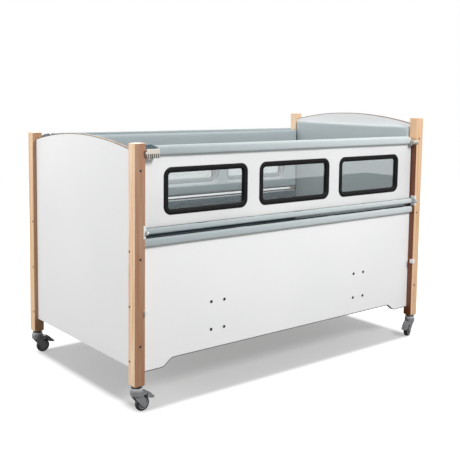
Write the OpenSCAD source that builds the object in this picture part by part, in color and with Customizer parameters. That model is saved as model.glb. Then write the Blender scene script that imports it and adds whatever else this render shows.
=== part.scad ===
// Special needs safety bed. Four beech posts carry laminated end boards and fixed lower sides.
// The upper sides have windows and fold down outwards. Everything inside is padded.
// X runs along the bed with the foot end at -X, Y runs across it, and the floor is at Z = 0.

/* [Frame] */
// Length outside the posts
bed_l = 2120; // [1600:10:2400]
// Width outside the posts
bed_w = 1160; // [900:10:1400]
// Side of a square post
post_s = 58; // [50:1:70]
// Height of the foot posts' tops above the floor
foot_post_top = 1300; // [1290:5:1400]
// Height of the head posts' tops above the floor
head_post_top = 1400; // [1390:5:1600]
// Height of the posts' lower ends, which is the casters' height
post_foot = 130; // [125:1:150]
// Bevel at the lower end of a post
post_bevel = 9; // [4:1:12]
// Rounding of a post's long edges
post_round = 2.5; // [1:0.5:5]

/* [Boards] */
// Thickness of every board
board_t = 19; // [16:1:25]
// Depth of the end boards behind the posts' end faces
end_recess = 22; // [10:1:34]
// Depth of the side boards behind the posts' outer faces
side_recess = 38; // [28:1:39]
// Height of the end boards' lower edges
end_bottom = 210; // [180:5:260]
// Drop from a post's top to the board's edge beside it
board_drop = 41; // [30:1:60]
// Rise of the arched top edge of an end board
arch_rise = 55; // [20:1:90]
// Height of the feet of the lower side boards
lower_bottom = 190; // [160:5:240]
// Height of the cut-out between those feet
skirt_rise = 39; // [20:1:60]
// Length of a foot of the lower side board
skirt_foot = 117; // [80:1:200]
// Length of the curve from a foot to the cut-out
skirt_curve = 75; // [40:1:120]
// Height of the lower side boards' top edges
lower_top = 838; // [780:1:860]

/* [Folding sides] */
// Height of the window board's lower edge
flap_bottom = 866; // [862:1:900]
// Height of the window board's top edge
flap_top = 1272; // [1255:1:1285]
// Gap between a window board's end and the post
flap_end_gap = 6.5; // [6:0.5:9]
// Distance of the hinge pivot in front of the posts
pivot_out = 12; // [10:1:20]
// Height of the hinge pivot above the window board's lower edge
pivot_up = 10; // [8:1:16]
// Thickness of a hinge arm
arm_t = 4; // [3:0.5:5]
// Thickness of a hinge plate
plate_t = 2; // [1.5:0.5:2]
// Radius of a hinge pin
hinge_pin_r = 4; // [3:0.5:5]
// Radial clearance of every turning pin
running_gap = 0.05; // [0.02:0.01:0.08]

/* [Windows] */
// Width of a window over its rubber seal
win_w = 530; // [400:5:560]
// Height of a window over its rubber seal
win_h = 235; // [180:5:250]
// Distance from one window to the next
win_pitch = 610; // [590:5:640]
// Height of the windows' middle above the window board's lower edge
win_mid_up = 194; // [180:1:205]
// Outer corner radius of a seal
win_r = 45; // [35:1:60]
// Width of a seal's band
seal_band = 28; // [16:1:32]
// How far a seal stands in front of the board
seal_proud = 3.5; // [2:0.5:5]
// How far a seal's lip laps over the board
seal_lap = 10; // [6:1:12]
// Thickness of a window pane
pane_t = 4; // [3:0.5:6]
// Depth of the pane's edge in the seal
pane_edge = 6; // [4:1:8]

/* [Padding] */
// Thickness of the pads on the sides
pad_t = 25; // [15:1:30]
// Thickness of the pads on the end boards
end_pad_t = 22; // [12:1:30]
// Swell of a pad's middle
pad_crown = 4; // [1:0.5:8]
// How far a pad's sides draw in between its corners
pad_draw = 3; // [0:0.5:6]
// How far the covers stand in front of the side boards
cover_proud = 22; // [12:1:26]
// Extra thickness of the top cover
top_cover_extra = 2; // [0:1:4]
// Height of the top cover's front
top_cover_h = 46; // [36:1:60]
// Thickness of the top cover over the board's edge
top_cover_skin = 12; // [6:1:14]
// Height of the cover on the window board's lower edge
mid_cover_h = 32; // [24:1:50]
// Height of the cover on the lower board's top edge
low_cover_h = 42; // [30:1:60]
// Thickness of the two lower covers over the boards' edges
low_cover_skin = 5.5; // [4:0.5:8]
// Swell of a cover's face
cover_swell = 2; // [0:0.5:4]
// Height of the head pad's top under its post's top
head_pad_drop = 50; // [42:1:120]
// Height of the foot pad's top under its post's top
foot_pad_drop = 50; // [42:1:120]
// How far the side pads' edges pass the boards' edges between the folding side and the lower board
pad_edge_gap = 2; // [0:1:10]
// How far a pad's opening stands clear of the window seal
pad_open_gap = 4; // [1:1:8]
// Clearance between a soft piece and its seat
soft_gap = 0.3; // [0.2:0.1:0.5]

/* [Mattress and base] */
// Clearance between the mattress's ends and the end boards
mattress_end_gap = 21; // [5:1:40]
// Clearance between the mattress's sides and the side boards
mattress_side_gap = 25; // [5:1:40]
// Thickness of the mattress at its edges
mattress_t = 138; // [80:2:160]
// Swell of the mattress's middle
mattress_crown = 9; // [4:1:14]
// Height of the base frame's underside
base_z = 400; // [360:5:440]
// Width of a base frame tube
tube_w = 25; // [20:1:40]
// Height of a base frame tube
tube_h = 40; // [30:1:50]
// Wall of a base frame tube
tube_wall = 2; // [1.5:0.5:3]
// Number of cross tubes, the two end tubes included
cross_n = 5; // [3:1:7]
// Number of slats
slat_n = 15; // [10:1:18]
// Width of a slat
slat_w = 68; // [50:1:80]
// Thickness of a slat
slat_t = 12; // [8:1:20]

/* [Brackets and screws] */
// Distance of a bracket from the bed's middle
bracket_x = 535.5; // [400:5:640]
// Distance between a bracket's screws along the bed
bracket_dx = 85; // [60:1:100]
// Distance between a bracket's screws up the board
bracket_dz = 146; // [120:2:170]
// Margin of a bracket around its screws
bracket_rim = 22; // [14:1:30]
// Thickness of a bracket's steel
bracket_t = 4; // [3:0.5:6]
// Radius of a screw's shank
screw_r = 3; // [2:0.5:4]
// Radius of a screw's head in a post
head_r = 6; // [4.5:0.5:7]
// Radius of the broad low heads on the side boards
broad_head_r = 7.5; // [5:0.5:9]
// Thickness of a screw's head
head_t = 3; // [2:0.5:4]
// Depth of a screw in a board's edge
screw_hold = 45; // [30:1:60]
// Distance of the end screws from an end board's lower edge
end_screw_low = 120; // [60:5:200]
// Distance of the end screws from an end board's top corner
end_screw_top = 88; // [60:2:160]
// Distance of the side screws from the side board's feet
side_screw_low = 62; // [40:2:120]
// Distance of the side screws from the side board's top
side_screw_top = 52; // [40:2:120]

/* [Locks and buffers] */
// Length of the lock cases at the foot end
foot_case_l = 70; // [60:1:80]
// Length of the lock cases at the head end
head_case_l = 38; // [38:1:80]
// Height of the lock cases at the foot end
case_h = 43; // [36:1:50]
// Height of the lock cases at the head end
head_case_h = 26; // [24:1:43]
// Height of a lock case's top under the window board's top edge
case_drop = 1; // [1:1:5]
// Distance of a lock case's front behind the hinge pivot
case_back = 1; // [0.5:0.5:2]
// Reach of a case's lip over the post's front
lip_over = 5; // [2:1:9]
// Radius of a lock bolt
bolt_r = 6; // [4:0.5:7]
// Length of a lock bolt
bolt_l = 34; // [32:1:36]
// Travel of a lock bolt
bolt_travel = 18; // [10:1:20]
// Distance of a lock bolt from the window board's face
bolt_out = 21; // [14:1:26]
// Radius of the finger pin under a lock bolt
tab_r = 2.5; // [2:0.5:3]
// Height of a buffer
buffer_h = 24; // [16:1:40]
// Width of a buffer
buffer_w = 22; // [16:1:30]
// How far a buffer laps over the post's front
buffer_lap = 8; // [4:1:12]

/* [Casters] */
// Radius of a wheel over its tyre
wheel_r = 38; // [34:1:40]
// Width of a tyre
tyre_w = 24; // [18:1:28]
// Thickness of a tyre
tyre_t = 10; // [6:1:12]
// Distance of the axle from the swivel axis
trail = 33; // [26:1:36]
// Radius of the fork's round head
fork_r = 31; // [28:1:34]
// Thickness of the black collar under a post
collar_t = 7; // [5:1:16]
// Thickness of the white bearing ring
ring_t = 10; // [6:1:12]
// Radius of the white bearing ring
ring_r = 30; // [26:1:31]
// Radius of the swivel pin
swivel_r = 6; // [5:0.5:8]
// Length of the stem in a post
stem_l = 45; // [30:1:60]
// Radius of the axle
axle_r = 4; // [3:0.5:5]
// Thickness of a fork's cheek
cheek_t = 5.5; // [4:0.5:7]
// Reach of the brake pedal from the swivel axis
pedal_reach = 104; // [100:1:112]
// Width of the brake pedal's hood
pedal_w = 34; // [28:1:40]
// Wall of the brake pedal's hood
pedal_wall = 3; // [2:0.5:4]
// Swivel angle of the front foot caster
turn_foot_front = 6; // [-20:1:20]
// Swivel angle of the back foot caster
turn_foot_back = -3; // [-20:1:20]
// Swivel angle of the front head caster
turn_head_front = -163; // [-180:1:-150]
// Swivel angle of the back head caster
turn_head_back = 172; // [150:1:180]

/* [Hidden] */
$fn = 48;
BEECH = [0.85, 0.68, 0.52];
LAMINATE = [0.95, 0.95, 0.95];
CLOTH = [0.70, 0.74, 0.75];
RUBBER = [0.12, 0.12, 0.13];
STEEL = [0.72, 0.71, 0.69];
NYLON = [0.50, 0.50, 0.51];
FOOT = -1;
HEAD = 1;
FRONT = -1;
BACK = 1;
over = 1;
fit_gap = 0.2;
seat_gap = 0.1;
// Planes of the frame, as distances from the bed's middle
half_l = bed_l / 2;
half_w = bed_w / 2;
post_x = half_l - post_s / 2;
post_y = half_w - post_s / 2;
post_in_x = half_l - post_s;
post_in_y = half_w - post_s;
end_face = half_l - end_recess;
end_in = end_face - board_t;
side_face = half_w - side_recess;
side_in = side_face - board_t;
side_mid = side_face - board_t / 2;
end_mid = end_face - board_t / 2;
// The folding side
flap_x = post_in_x - flap_end_gap;
pivot_y = half_w + pivot_out;
pivot_z = flap_bottom + pivot_up;
arm_out = flap_x + arm_t;
eye_r = hinge_pin_r + 5;
win_z = flap_bottom + win_mid_up;
// The lining, whose faces are level with the mattress's edges
pad_in = side_in - pad_t;
mattress_l = 2 * (end_in - mattress_end_gap);
mattress_w = 2 * (side_in - mattress_side_gap);
mattress_z = base_z + tube_h + slat_t + soft_gap;
mattress_top = mattress_z + mattress_t + mattress_crown;
pad_low = mattress_top + 10;
lining_top = flap_top + soft_gap + top_cover_skin;
flap_pad_low = flap_bottom - pad_edge_gap;
lower_pad_top = lower_top + pad_edge_gap;
// The locks
case_front = pivot_y - case_back;
case_top = flap_top - case_drop;
case_low = case_top - case_h;
bolt_y = side_face + bolt_out;
bolt_z = case_low + case_h / 2;
bolt_tip = arm_out;
tab_x = bolt_tip - bolt_l + 8;
lip_h = case_h / 2;
case_gap = 3;
buffer_z = 2 * pivot_z - (case_low + case_h * 0.78);
buffer_out = pivot_y + case_back - 0.3;
// The casters, whose shared heights count from the floor
collar_low = post_foot - collar_t;
ring_low = collar_low - ring_t;
fork_top = ring_low - 0.3;
fork_low = 2 * wheel_r + 8;
cheek_in = tyre_w / 2 + 1;
cheek_out = cheek_in + cheek_t;
pedal_x = wheel_r + 6;
pedal_z = fork_low + 6;
pedal_pin_r = 2.5;

// Shared shapes
module rounded_box2d(w, h, r) {
    square([w - 2 * r, h], center = true);
    square([w, h - 2 * r], center = true);
    for (x = [-1, 1], y = [-1, 1])
        translate([x * (w / 2 - r), y * (h / 2 - r)]) circle(r);
}

function unit(a) = [cos(a), sin(a)];

// Two circles joined by their outer tangents
module strap2d(p, r, q, s) {
    d = q - p;
    a = atan2(d[1], d[0]);
    b = acos((r - s) / norm(d));
    translate(p) circle(r);
    translate(q) circle(s);
    polygon([p + r * unit(a + b), q + s * unit(a + b), q + s * unit(a - b), p + r * unit(a - b)]);
}

// Everything that repeats at the corners is drawn at the back head corner and mirrored
module at_side(side) {
    mirror([0, side == FRONT ? 1 : 0, 0]) children();
}

module at_corner(end, side) {
    mirror([end == FOOT ? 1 : 0, 0, 0]) at_side(side) children();
}

// A profile in Y and Z, given a thickness along X from a to b
module along_x(a, b) {
    translate([a, 0, 0]) rotate([90, 0, 90]) linear_extrude(b - a) children();
}

// A profile in X and Z, given a thickness along Y from a to b
module along_y(a, b) {
    translate([0, b, 0]) rotate([90, 0, 0]) linear_extrude(b - a) children();
}

// Screw heights along an edge: three, evenly spread
function three(low, high) = [low, (low + high) / 2, high];
function post_top(end) = end == FOOT ? foot_post_top : head_post_top;
function board_edge(end) = post_top(end) - board_drop;
function end_screws(end) = three(end_bottom + end_screw_low, board_edge(end) - end_screw_top);
side_screws = three(lower_bottom + side_screw_low, lower_top - side_screw_top);

// A post is a square with rounded edges, bevelled at its lower end and eased at its top
module post_profile(h) {
    s = post_s / 2;
    b = post_bevel;
    c = post_round;
    polygon([
        [b - s, 0], [s - b, 0], [s, b], [s, h - c], [s - c, h], [c - s, h], [-s, h - c], [-s, b]
    ]);
}

module drilled(depth, r) {
    cylinder(h = depth, r = r);
}

// Hole for a screw that enters a face at the origin and runs along +Z
module screw_hole(depth) {
    translate([0, 0, -over]) drilled(head_t + 1 + over, head_r + fit_gap);
    drilled(depth, screw_r + fit_gap);
}

// The three screws into the end board and the three into the side board, in place
module at_post_screws(end) {
    for (z = end_screws(end)) translate([end_mid, half_w, z]) rotate([90, 0, 0]) children();
    for (z = side_screws) translate([half_l, side_mid, z]) rotate([0, -90, 0]) children();
}

module at_keeper_screw() {
    translate([post_in_x + 5, half_w, bolt_z + 8]) rotate([90, 0, 0]) children();
}

module post(end, side) {
    h = post_top(end) - post_foot;
    color(BEECH) at_corner(end, side) difference() {
        translate([post_x, post_y, post_foot]) intersection() {
            linear_extrude(h) rounded_box2d(post_s, post_s, post_round);
            along_y(-post_s, post_s) post_profile(h);
            along_x(-post_s, post_s) post_profile(h);
        }
        at_post_screws(end) screw_hole(post_s + over);
        at_keeper_screw() drilled(6, head_r - 0.5 + fit_gap);
        translate([post_in_x - over, bolt_y, bolt_z]) rotate([0, 90, 0])
            drilled(bolt_travel + 2 * over, bolt_r + 1);
        translate([post_x, post_y, post_foot - over]) drilled(stem_l + 2 + over, swivel_r - 0.5 + fit_gap);
    }
}

// An end board has a straight foot and an arched top, a circle's arc over the chord
module end_board(end) {
    w = 2 * post_in_y;
    edge = board_edge(end);
    arc_r = (post_in_y ^ 2 + arch_rise ^ 2) / (2 * arch_rise);
    color(LAMINATE) mirror([end == FOOT ? 1 : 0, 0, 0]) difference() {
        along_x(end_in, end_face) intersection() {
            translate([-w / 2, end_bottom]) square([w, edge + arch_rise - end_bottom]);
            translate([0, edge + arch_rise - arc_r]) circle(arc_r, $fn = 180);
        }
        for (side = [FRONT, BACK], z = end_screws(end)) at_side(side)
            translate([end_mid, post_in_y + over, z]) rotate([90, 0, 0])
                drilled(screw_hold + 2 * over, screw_r + fit_gap);
    }
}

// The lower side board stands on two feet, and a soft curve leads from each to the cut-out
function skirt_point(t) = [
    post_in_x - skirt_foot - skirt_curve * (1 - t),
    lower_bottom + skirt_rise * (1 + cos(180 * t)) / 2
];
skirt_half = concat([for (i = [0:10]) skirt_point(i / 10)], [[post_in_x, lower_bottom]]);

module lower_panel(side) {
    n = len(skirt_half);
    left = [for (i = [n - 1:-1:0]) [-skirt_half[i][0], skirt_half[i][1]]];
    color(LAMINATE) at_side(side) difference() {
        along_y(side_in, side_face)
            polygon(concat(left, skirt_half, [[post_in_x, lower_top], [-post_in_x, lower_top]]));
        at_bracket_screws() drilled(board_t + 2 * over, screw_r + fit_gap);
        for (end = [FOOT, HEAD], z = side_screws) mirror([end == FOOT ? 1 : 0, 0, 0])
            translate([post_in_x + over, side_mid, z]) rotate([0, -90, 0])
                drilled(screw_hold + 2 * over, screw_r + fit_gap);
    }
}

// Screws of the two brackets on a side, entering from a plane just outside the board
module at_bracket_screws() {
    for (x = [-1, 1], dx = [-0.5, 0.5], dz = [-0.5, 0.5])
        translate([x * bracket_x + dx * bracket_dx, side_face + over, base_z + dz * bracket_dz - 2])
            rotate([90, 0, 0]) children();
}

module at_windows() {
    for (k = [-1:1]) translate([k * win_pitch, win_z]) children();
}

module flap_panel(side) {
    color(LAMINATE) at_side(side) along_y(side_in, side_face) difference() {
        translate([-flap_x, flap_bottom]) square([2 * flap_x, flap_top - flap_bottom]);
        at_windows() rounded_box2d(win_w - 2 * seal_lap, win_h - 2 * seal_lap, win_r - seal_lap);
    }
}

// A seal grips the board's edge with a lip on each side and holds the pane in a groove
module window_seals(side) {
    inner_r = win_r - seal_band;
    slot = seal_band - pane_edge;
    color(RUBBER) at_side(side) difference() {
        union() {
            for (y = [side_face, side_in - seal_proud]) along_y(y, y + seal_proud) at_windows()
                rounded_box2d(win_w, win_h, win_r);
            along_y(side_in - over / 4, side_face + over / 4) at_windows() rounded_box2d(
                win_w - 2 * seal_lap - fit_gap, win_h - 2 * seal_lap - fit_gap, win_r - seal_lap);
        }
        along_y(side_in - seal_proud - over, side_face + seal_proud + over) at_windows()
            rounded_box2d(win_w - 2 * seal_band, win_h - 2 * seal_band, inner_r);
        along_y(side_mid - pane_t / 2, side_mid + pane_t / 2) at_windows()
            rounded_box2d(win_w - 2 * slot, win_h - 2 * slot, win_r - slot);
    }
}

module window_panes(side) {
    slot = seal_band - pane_edge + fit_gap;
    color([0.75, 0.82, 0.85, 0.4]) at_side(side)
        along_y(side_mid - pane_t / 2 + 0.1, side_mid + pane_t / 2 - 0.1) at_windows()
            rounded_box2d(win_w - 2 * slot, win_h - 2 * slot, win_r - slot);
}

// Ring of a cushion: a rectangle with round corners whose sides draw in between the corners
function cushion_ring(hx, hy, r, draw, nx, ny) = [
    for (q = [0:3])
        let(sx = q == 0 || q == 3 ? 1 : -1, sy = q < 2 ? 1 : -1)
        let(tx = q == 0 || q == 1 ? -1 : 1, ty = q < 2 ? 1 : -1, n = q % 2 == 0 ? nx : ny)
        let(c = [sx * (hx - r), sy * (hy - r)])
        let(next = q % 2 == 0 ? [-c[0], c[1]] : [c[0], -c[1]])
        let(out = unit(90 * (q + 1)))
        each concat(
            [for (a = [0, 30, 60]) c + r * unit(90 * q + a)],
            [for (j = [0:n - 1]) c + (next - c) * j / n + out * (r - draw * sin(180 * j / n))]
        )
];

// Stack of rings, closed by a fan at each end. The first ring is the lowest.
module ring_stack(rings, heights) {
    n = len(rings[0]);
    m = len(rings);
    points = concat(
        [for (k = [0:m - 1]) for (p = rings[k]) [p[0], p[1], heights[k]]],
        [[0, 0, heights[0]], [0, 0, heights[m - 1]]]
    );
    walls = [for (k = [0:m - 2], i = [0:n - 1]) let(j = (i + 1) % n, a = k * n, b = a + n)
        each [[a + i, b + i, b + j], [a + i, b + j, a + j]]];
    ends = [for (i = [0:n - 1]) let(j = (i + 1) % n, top = (m - 1) * n)
        each [[i, j, n * m], [top + j, top + i, n * m + 1]]];
    polyhedron(points, concat(walls, ends));
}

// A crowned cushion of length l and width w: flat under, drawn-in sides, round edges, swollen top
module cushion(l, w, t, crown, draw, r, edge, nx, ny) {
    hx = l / 2;
    hy = w / 2;
    levels = [
        [0, edge, 0.3], [edge, 0, 1], [t - edge, 0, 1], [t, edge, 0.8],
        [t + crown * 0.55, hy * 0.22, 0.5], [t + crown * 0.88, hy * 0.52, 0.2], [t + crown, hy * 0.8, 0]
    ];
    ring_stack(
        [for (v = levels) let(d = v[1])
            let(corner = min((hy - d) * 0.6, max(r - d, 2 + d * 0.4)))
            cushion_ring(hx - d, hy - d, corner, draw * v[2], nx, ny)],
        [for (v = levels) v[0]]
    );
}

module side_pad(low, high, reach) {
    translate([0, side_in - soft_gap, (low + high) / 2]) rotate([90, 0, 0])
        cushion(2 * reach, high - low, pad_t - pad_crown - soft_gap, pad_crown, pad_draw, 14, 5, 12, 4);
}

// The pad on a folding side has an opening round each window
module flap_pad(side) {
    color(CLOTH) at_side(side) difference() {
        side_pad(flap_pad_low, lining_top, flap_x + 2);
        along_y(pad_in - over, side_in + over) at_windows() rounded_box2d(
            win_w + 2 * pad_open_gap, win_h + 2 * pad_open_gap, win_r + pad_open_gap, $fn = 24);
    }
}

module lower_pad(side) {
    color(CLOTH) at_side(side) side_pad(pad_low, lower_pad_top, post_in_x - 3);
}

module end_pad(end) {
    high = post_top(end) - (end == FOOT ? foot_pad_drop : head_pad_drop);
    color(CLOTH) rotate(end == FOOT ? 90 : -90)
        translate([0, end_in - soft_gap, (pad_low + high) / 2]) rotate([90, 0, 0])
            cushion(2 * pad_in - 6, high - pad_low, end_pad_t - pad_crown - soft_gap, pad_crown,
                pad_draw, 14, 5, 6, 5);
}

// A cover is a padded strip that laps over a board's edge: a leg in front and a skin on the edge.
// Its section is a row of point pairs, the soft face first and the seat on the board second.
function cover_pairs(free, edge, skin, proud) =
    let(d = sign(edge - free), seat = side_face + soft_gap, top = edge + d * soft_gap)
    let(wrap = top + d * skin, h = wrap - free, in = side_in + soft_gap)
    [
        [[side_face + proud * 0.4, free], [seat, free]],
        [[side_face + proud * 0.9, free + h * 0.1], [seat, free + h * 0.1]],
        [[side_face + proud, free + h * 0.5], [seat, free + h * 0.5]],
        [[side_face + proud * 0.94, wrap - h * 0.12], [seat, top]],
        [[side_face + proud * 0.6, wrap], [seat - 4, top]],
        [[side_mid, wrap], [seat - 9, top]],
        [[in, wrap - d * 1], [in, top]]
    ];

// The soft face swells in long shallow waves between the cover's ends
module cover(pairs, a, b) {
    n = len(pairs);
    m = ceil((b - a) / 100);
    swell = [for (k = [0:m]) let(t = k / m)
        cover_swell * (sin(180 * t) ^ 0.3) * (0.6 + 0.4 * sin(360 * t * 3.5 + 40))];
    soft = [for (k = [0:m]) [for (i = [0:n - 1])
        pairs[i][0] + (i == 2 ? [swell[k], 0] : i == 1 || i == 3 ? [swell[k] * 0.6, 0] : [0, 0])]];
    points = [for (k = [0:m]) each concat(
        [for (i = [0:n - 1]) [a + (b - a) * k / m, soft[k][i][0], soft[k][i][1]]],
        [for (i = [n - 1:-1:0]) [a + (b - a) * k / m, pairs[i][1][0], pairs[i][1][1]]]
    )];
    r = 2 * n;
    up = pairs[0][0][1] < pairs[n - 1][0][1];
    walls = [for (k = [0:m - 1], i = [0:r - 1]) let(j = (i + 1) % r, p = k * r, q = p + r)
        each [[p + i, q + i, q + j], [p + i, q + j, p + j]]];
    ends = [for (i = [0:n - 2]) let(j = r - 1 - i, e = m * r)
        each [[i, i + 1, j], [i + 1, j - 1, j], [e + i, e + j, e + i + 1], [e + i + 1, e + j, e + j - 1]]];
    faces = concat(walls, ends);
    polyhedron(points, up ? faces : [for (f = faces) [f[2], f[1], f[0]]]);
}

module top_cover(side) {
    pairs = cover_pairs(lining_top - top_cover_h, flap_top, top_cover_skin, cover_proud + top_cover_extra);
    color(CLOTH) at_side(side)
        cover(pairs, case_gap + foot_case_l - arm_out, arm_out - head_case_l - case_gap);
}

module mid_cover(side) {
    low = flap_bottom - soft_gap - low_cover_skin;
    color(CLOTH) at_side(side)
        cover(cover_pairs(low + mid_cover_h, flap_bottom, low_cover_skin, cover_proud), 1.5 - flap_x, flap_x - 1.5);
}

module low_cover(side) {
    high = lower_top + soft_gap + low_cover_skin;
    reach = post_in_x - 1;
    color(CLOTH) at_side(side)
        cover(cover_pairs(high - low_cover_h, lower_top, low_cover_skin, cover_proud), -reach, reach);
}

// A foam mattress with piped edges, swollen in the middle
module mattress() {
    color(CLOTH) translate([0, 0, mattress_z])
        cushion(mattress_l, mattress_w, mattress_t, mattress_crown, 4, 40, 10, 14, 8);
}

module tube(l) {
    difference() {
        cube([l, tube_w, tube_h]);
        translate([-over, tube_wall, tube_wall])
            cube([l + 2 * over, tube_w - 2 * tube_wall, tube_h - 2 * tube_wall]);
    }
}

// Two side tubes with cross tubes between them, bolted together face to face
module base_frame() {
    l = mattress_l - 6;
    w = mattress_w - 6;
    inner = w - 2 * tube_w - 2 * seat_gap;
    color(STEEL) translate([0, 0, base_z]) {
        for (y = [-w / 2, w / 2 - tube_w]) translate([-l / 2, y, 0]) tube(l);
        for (k = [0:cross_n - 1])
            translate([-l / 2 + tube_w + k * (l - tube_w) / (cross_n - 1), -inner / 2, 0])
                rotate([0, 0, 90]) tube(inner);
    }
}

module slats() {
    span = mattress_l - 56 - slat_w;
    w = mattress_w - 12;
    color(BEECH) for (k = [0:slat_n - 1])
        translate([-span / 2 - slat_w / 2 + k * span / (slat_n - 1), -w / 2, base_z + tube_h])
            cube([slat_w, w, slat_t]);
}

// A bracket is a steel plate on the board's inner face with a shelf on two gussets
module support_brackets() {
    w = bracket_dx + 2 * bracket_rim;
    h = bracket_dz + 2 * bracket_rim;
    in = side_in - bracket_t;
    shelf_in = mattress_w / 2 - 3 - tube_w - 2;
    color(STEEL) for (side = [FRONT, BACK], x = [-1, 1]) at_side(side) difference() {
        translate([x * bracket_x, 0, 0]) {
            translate([-w / 2, in, base_z - 2 - h / 2]) cube([w, bracket_t, h]);
            translate([-w / 2, shelf_in, base_z - bracket_t]) cube([w, in - shelf_in, bracket_t]);
            for (g = [-w / 2, w / 2 - bracket_t]) along_x(g, g + bracket_t)
                polygon([[in, base_z - bracket_t], [shelf_in + 4, base_z - bracket_t], [in, base_z - h / 2 + 8]]);
        }
        at_bracket_screws() drilled(board_t + bracket_t + 2 * over, screw_r + fit_gap);
    }
}

// Screws with a low head, through board and bracket, and a nut inside
module panel_screws() {
    color(RUBBER) for (side = [FRONT, BACK]) at_side(side) at_bracket_screws() {
        translate([0, 0, over - head_t + 0.5]) cylinder(h = head_t - 0.5, r = broad_head_r);
        translate([0, 0, over]) cylinder(h = board_t + bracket_t + 7, r = screw_r);
        translate([0, 0, over + board_t + bracket_t]) cylinder(h = 5, r = 5.5, $fn = 6);
    }
}

// Long screws sunk in the posts, and short ones in front of the locks' sockets
module post_screws() {
    color(RUBBER) for (end = [FOOT, HEAD], side = [FRONT, BACK]) at_corner(end, side) {
        at_post_screws(end) translate([0, 0, 1]) {
            difference() {
                cylinder(h = head_t, r = head_r);
                translate([0, 0, -over]) cylinder(h = head_t * 0.6 + over, r = 2, $fn = 6);
            }
            translate([0, 0, head_t]) cylinder(h = post_s + screw_hold - head_t - 1, r = screw_r);
        }
        at_keeper_screw() translate([0, 0, 0.5]) cylinder(h = 5, r = head_r - 0.5);
    }
}

// Eye of a hinge: a strap from the plate's body out to the pivot
module eye2d(back, low, high) {
    translate([back, low]) square([half_w - back, high - low]);
    strap2d([half_w - 10, pivot_z + 3], 14, [pivot_y, pivot_z], eye_r);
}

// A plate laps over the post's inner face and front, and its eye carries the hinge pin
module hinge_plates() {
    low = lower_top + 10;
    high = pivot_z + 34;
    color(LAMINATE) for (end = [FOOT, HEAD], side = [FRONT, BACK]) at_corner(end, side) {
        along_x(post_in_x - plate_t, post_in_x) eye2d(half_w - 30, low, high);
        translate([post_in_x - plate_t, half_w, low]) cube([plate_t + 11, plate_t, high - low]);
        translate([flap_x - 2, pivot_y, pivot_z]) rotate([0, 90, 0]) {
            cylinder(h = post_in_x - flap_x + 2 - plate_t / 2, r = hinge_pin_r);
            cylinder(h = 1.6, r = hinge_pin_r + 2.5);
        }
    }
}

// An arm is screwed on the window board's end and turns on the hinge pin
module hinge_arms(side) {
    color(STEEL) for (end = [FOOT, HEAD]) at_corner(end, side) difference() {
        along_x(flap_x, arm_out) {
            translate([side_in, flap_bottom]) square([half_w - 10 - side_in, 28]);
            strap2d([half_w - 16, flap_bottom + 14], 14, [pivot_y, pivot_z], eye_r);
        }
        translate([flap_x - over, pivot_y, pivot_z]) rotate([0, 90, 0])
            drilled(arm_t + 2 * over, hinge_pin_r + running_gap);
    }
}

// A buffer sits on the post's edge, and the lowered side comes to rest against it
module buffers() {
    x0 = post_in_x + buffer_lap - buffer_w;
    color(LAMINATE) for (end = [FOOT, HEAD], side = [FRONT, BACK]) at_corner(end, side)
        translate([0, 0, buffer_z - buffer_h / 2]) linear_extrude(buffer_h) difference() {
            translate([x0 + buffer_w / 2, (half_w - 14 + buffer_out) / 2])
                rounded_box2d(buffer_w, buffer_out - half_w + 14, 4);
            translate([post_in_x, half_w - post_s]) square(post_s);
        }
}

// A lock case with a bore for its bolt, a groove in front and a slot below for the finger pin
module lock_case(l, h) {
    x0 = arm_out - l;
    low = bolt_z - h / 2;
    difference() {
        union() {
            translate([x0 + l / 2, 0, 0]) along_x(-l / 2, l / 2)
                translate([(side_face + case_front) / 2, bolt_z])
                    rounded_box2d(case_front - side_face, h, 3);
            translate([arm_out - over, half_w + over, bolt_z - lip_h / 2])
                cube([post_in_x + lip_over - arm_out + over, case_front - half_w - over, lip_h]);
        }
        translate([bolt_tip - bolt_l - 2, bolt_y, bolt_z]) rotate([0, 90, 0])
            drilled(bolt_l + 2 + over, bolt_r + running_gap);
        translate([tab_x - tab_r - 0.5, bolt_y - tab_r - 0.4, low - over])
            cube([bolt_travel + 2 * tab_r + 1, 2 * tab_r + 0.8, h / 2 + over]);
        if (h > head_case_h)
            translate([arm_out - 27, case_front - 3, low + 2]) cube([4, 3 + over, h / 2 - 2]);
    }
}

module lock_cases(side) {
    color(STEEL) {
        at_corner(FOOT, side) lock_case(foot_case_l, case_h);
        at_corner(HEAD, side) lock_case(head_case_l, head_case_h);
    }
}

// A bolt has a round nose and a finger pin with a knob under the case, drawn back at rest
module lock_bolt(end, side) {
    nose = 3;
    low = bolt_z - (end == FOOT ? case_h : head_case_h) / 2;
    color(STEEL) at_corner(end, side) {
        translate([bolt_tip - bolt_l, bolt_y, bolt_z]) rotate([0, 90, 0]) rotate_extrude()
            polygon([[0, 0], [bolt_r, 0], [bolt_r, bolt_l - nose], [bolt_r - nose, bolt_l], [0, bolt_l]]);
        translate([tab_x, bolt_y, low - 8]) {
            cylinder(h = bolt_z - low + 8, r = tab_r);
            cylinder(h = 6, r = tab_r + 2.5);
        }
    }
}

// The four casters stand under the posts, each turned about its own swivel axis
function turn(end, side) = end == FOOT
    ? (side == FRONT ? turn_foot_front : turn_foot_back)
    : (side == FRONT ? turn_head_front : turn_head_back);

// Outline of such a strap as points, n steps to each arc
function strap_points(p, r, q, s, n) =
    let(d = q - p, a = atan2(d[1], d[0]), b = acos((r - s) / norm(d)))
    concat(
        [for (k = [0:n]) p + r * unit(a + b + (360 - 2 * b) * k / n)],
        [for (k = [0:n]) q + s * unit(a - b + 2 * b * k / n)]
    );

module at_caster(end, side) {
    translate([end * post_x, side * post_y, 0]) rotate([0, 0, turn(end, side)]) children();
}

module at_axle() {
    translate([trail, 0, wheel_r]) rotate([90, 0, 0]) children();
}

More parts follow.
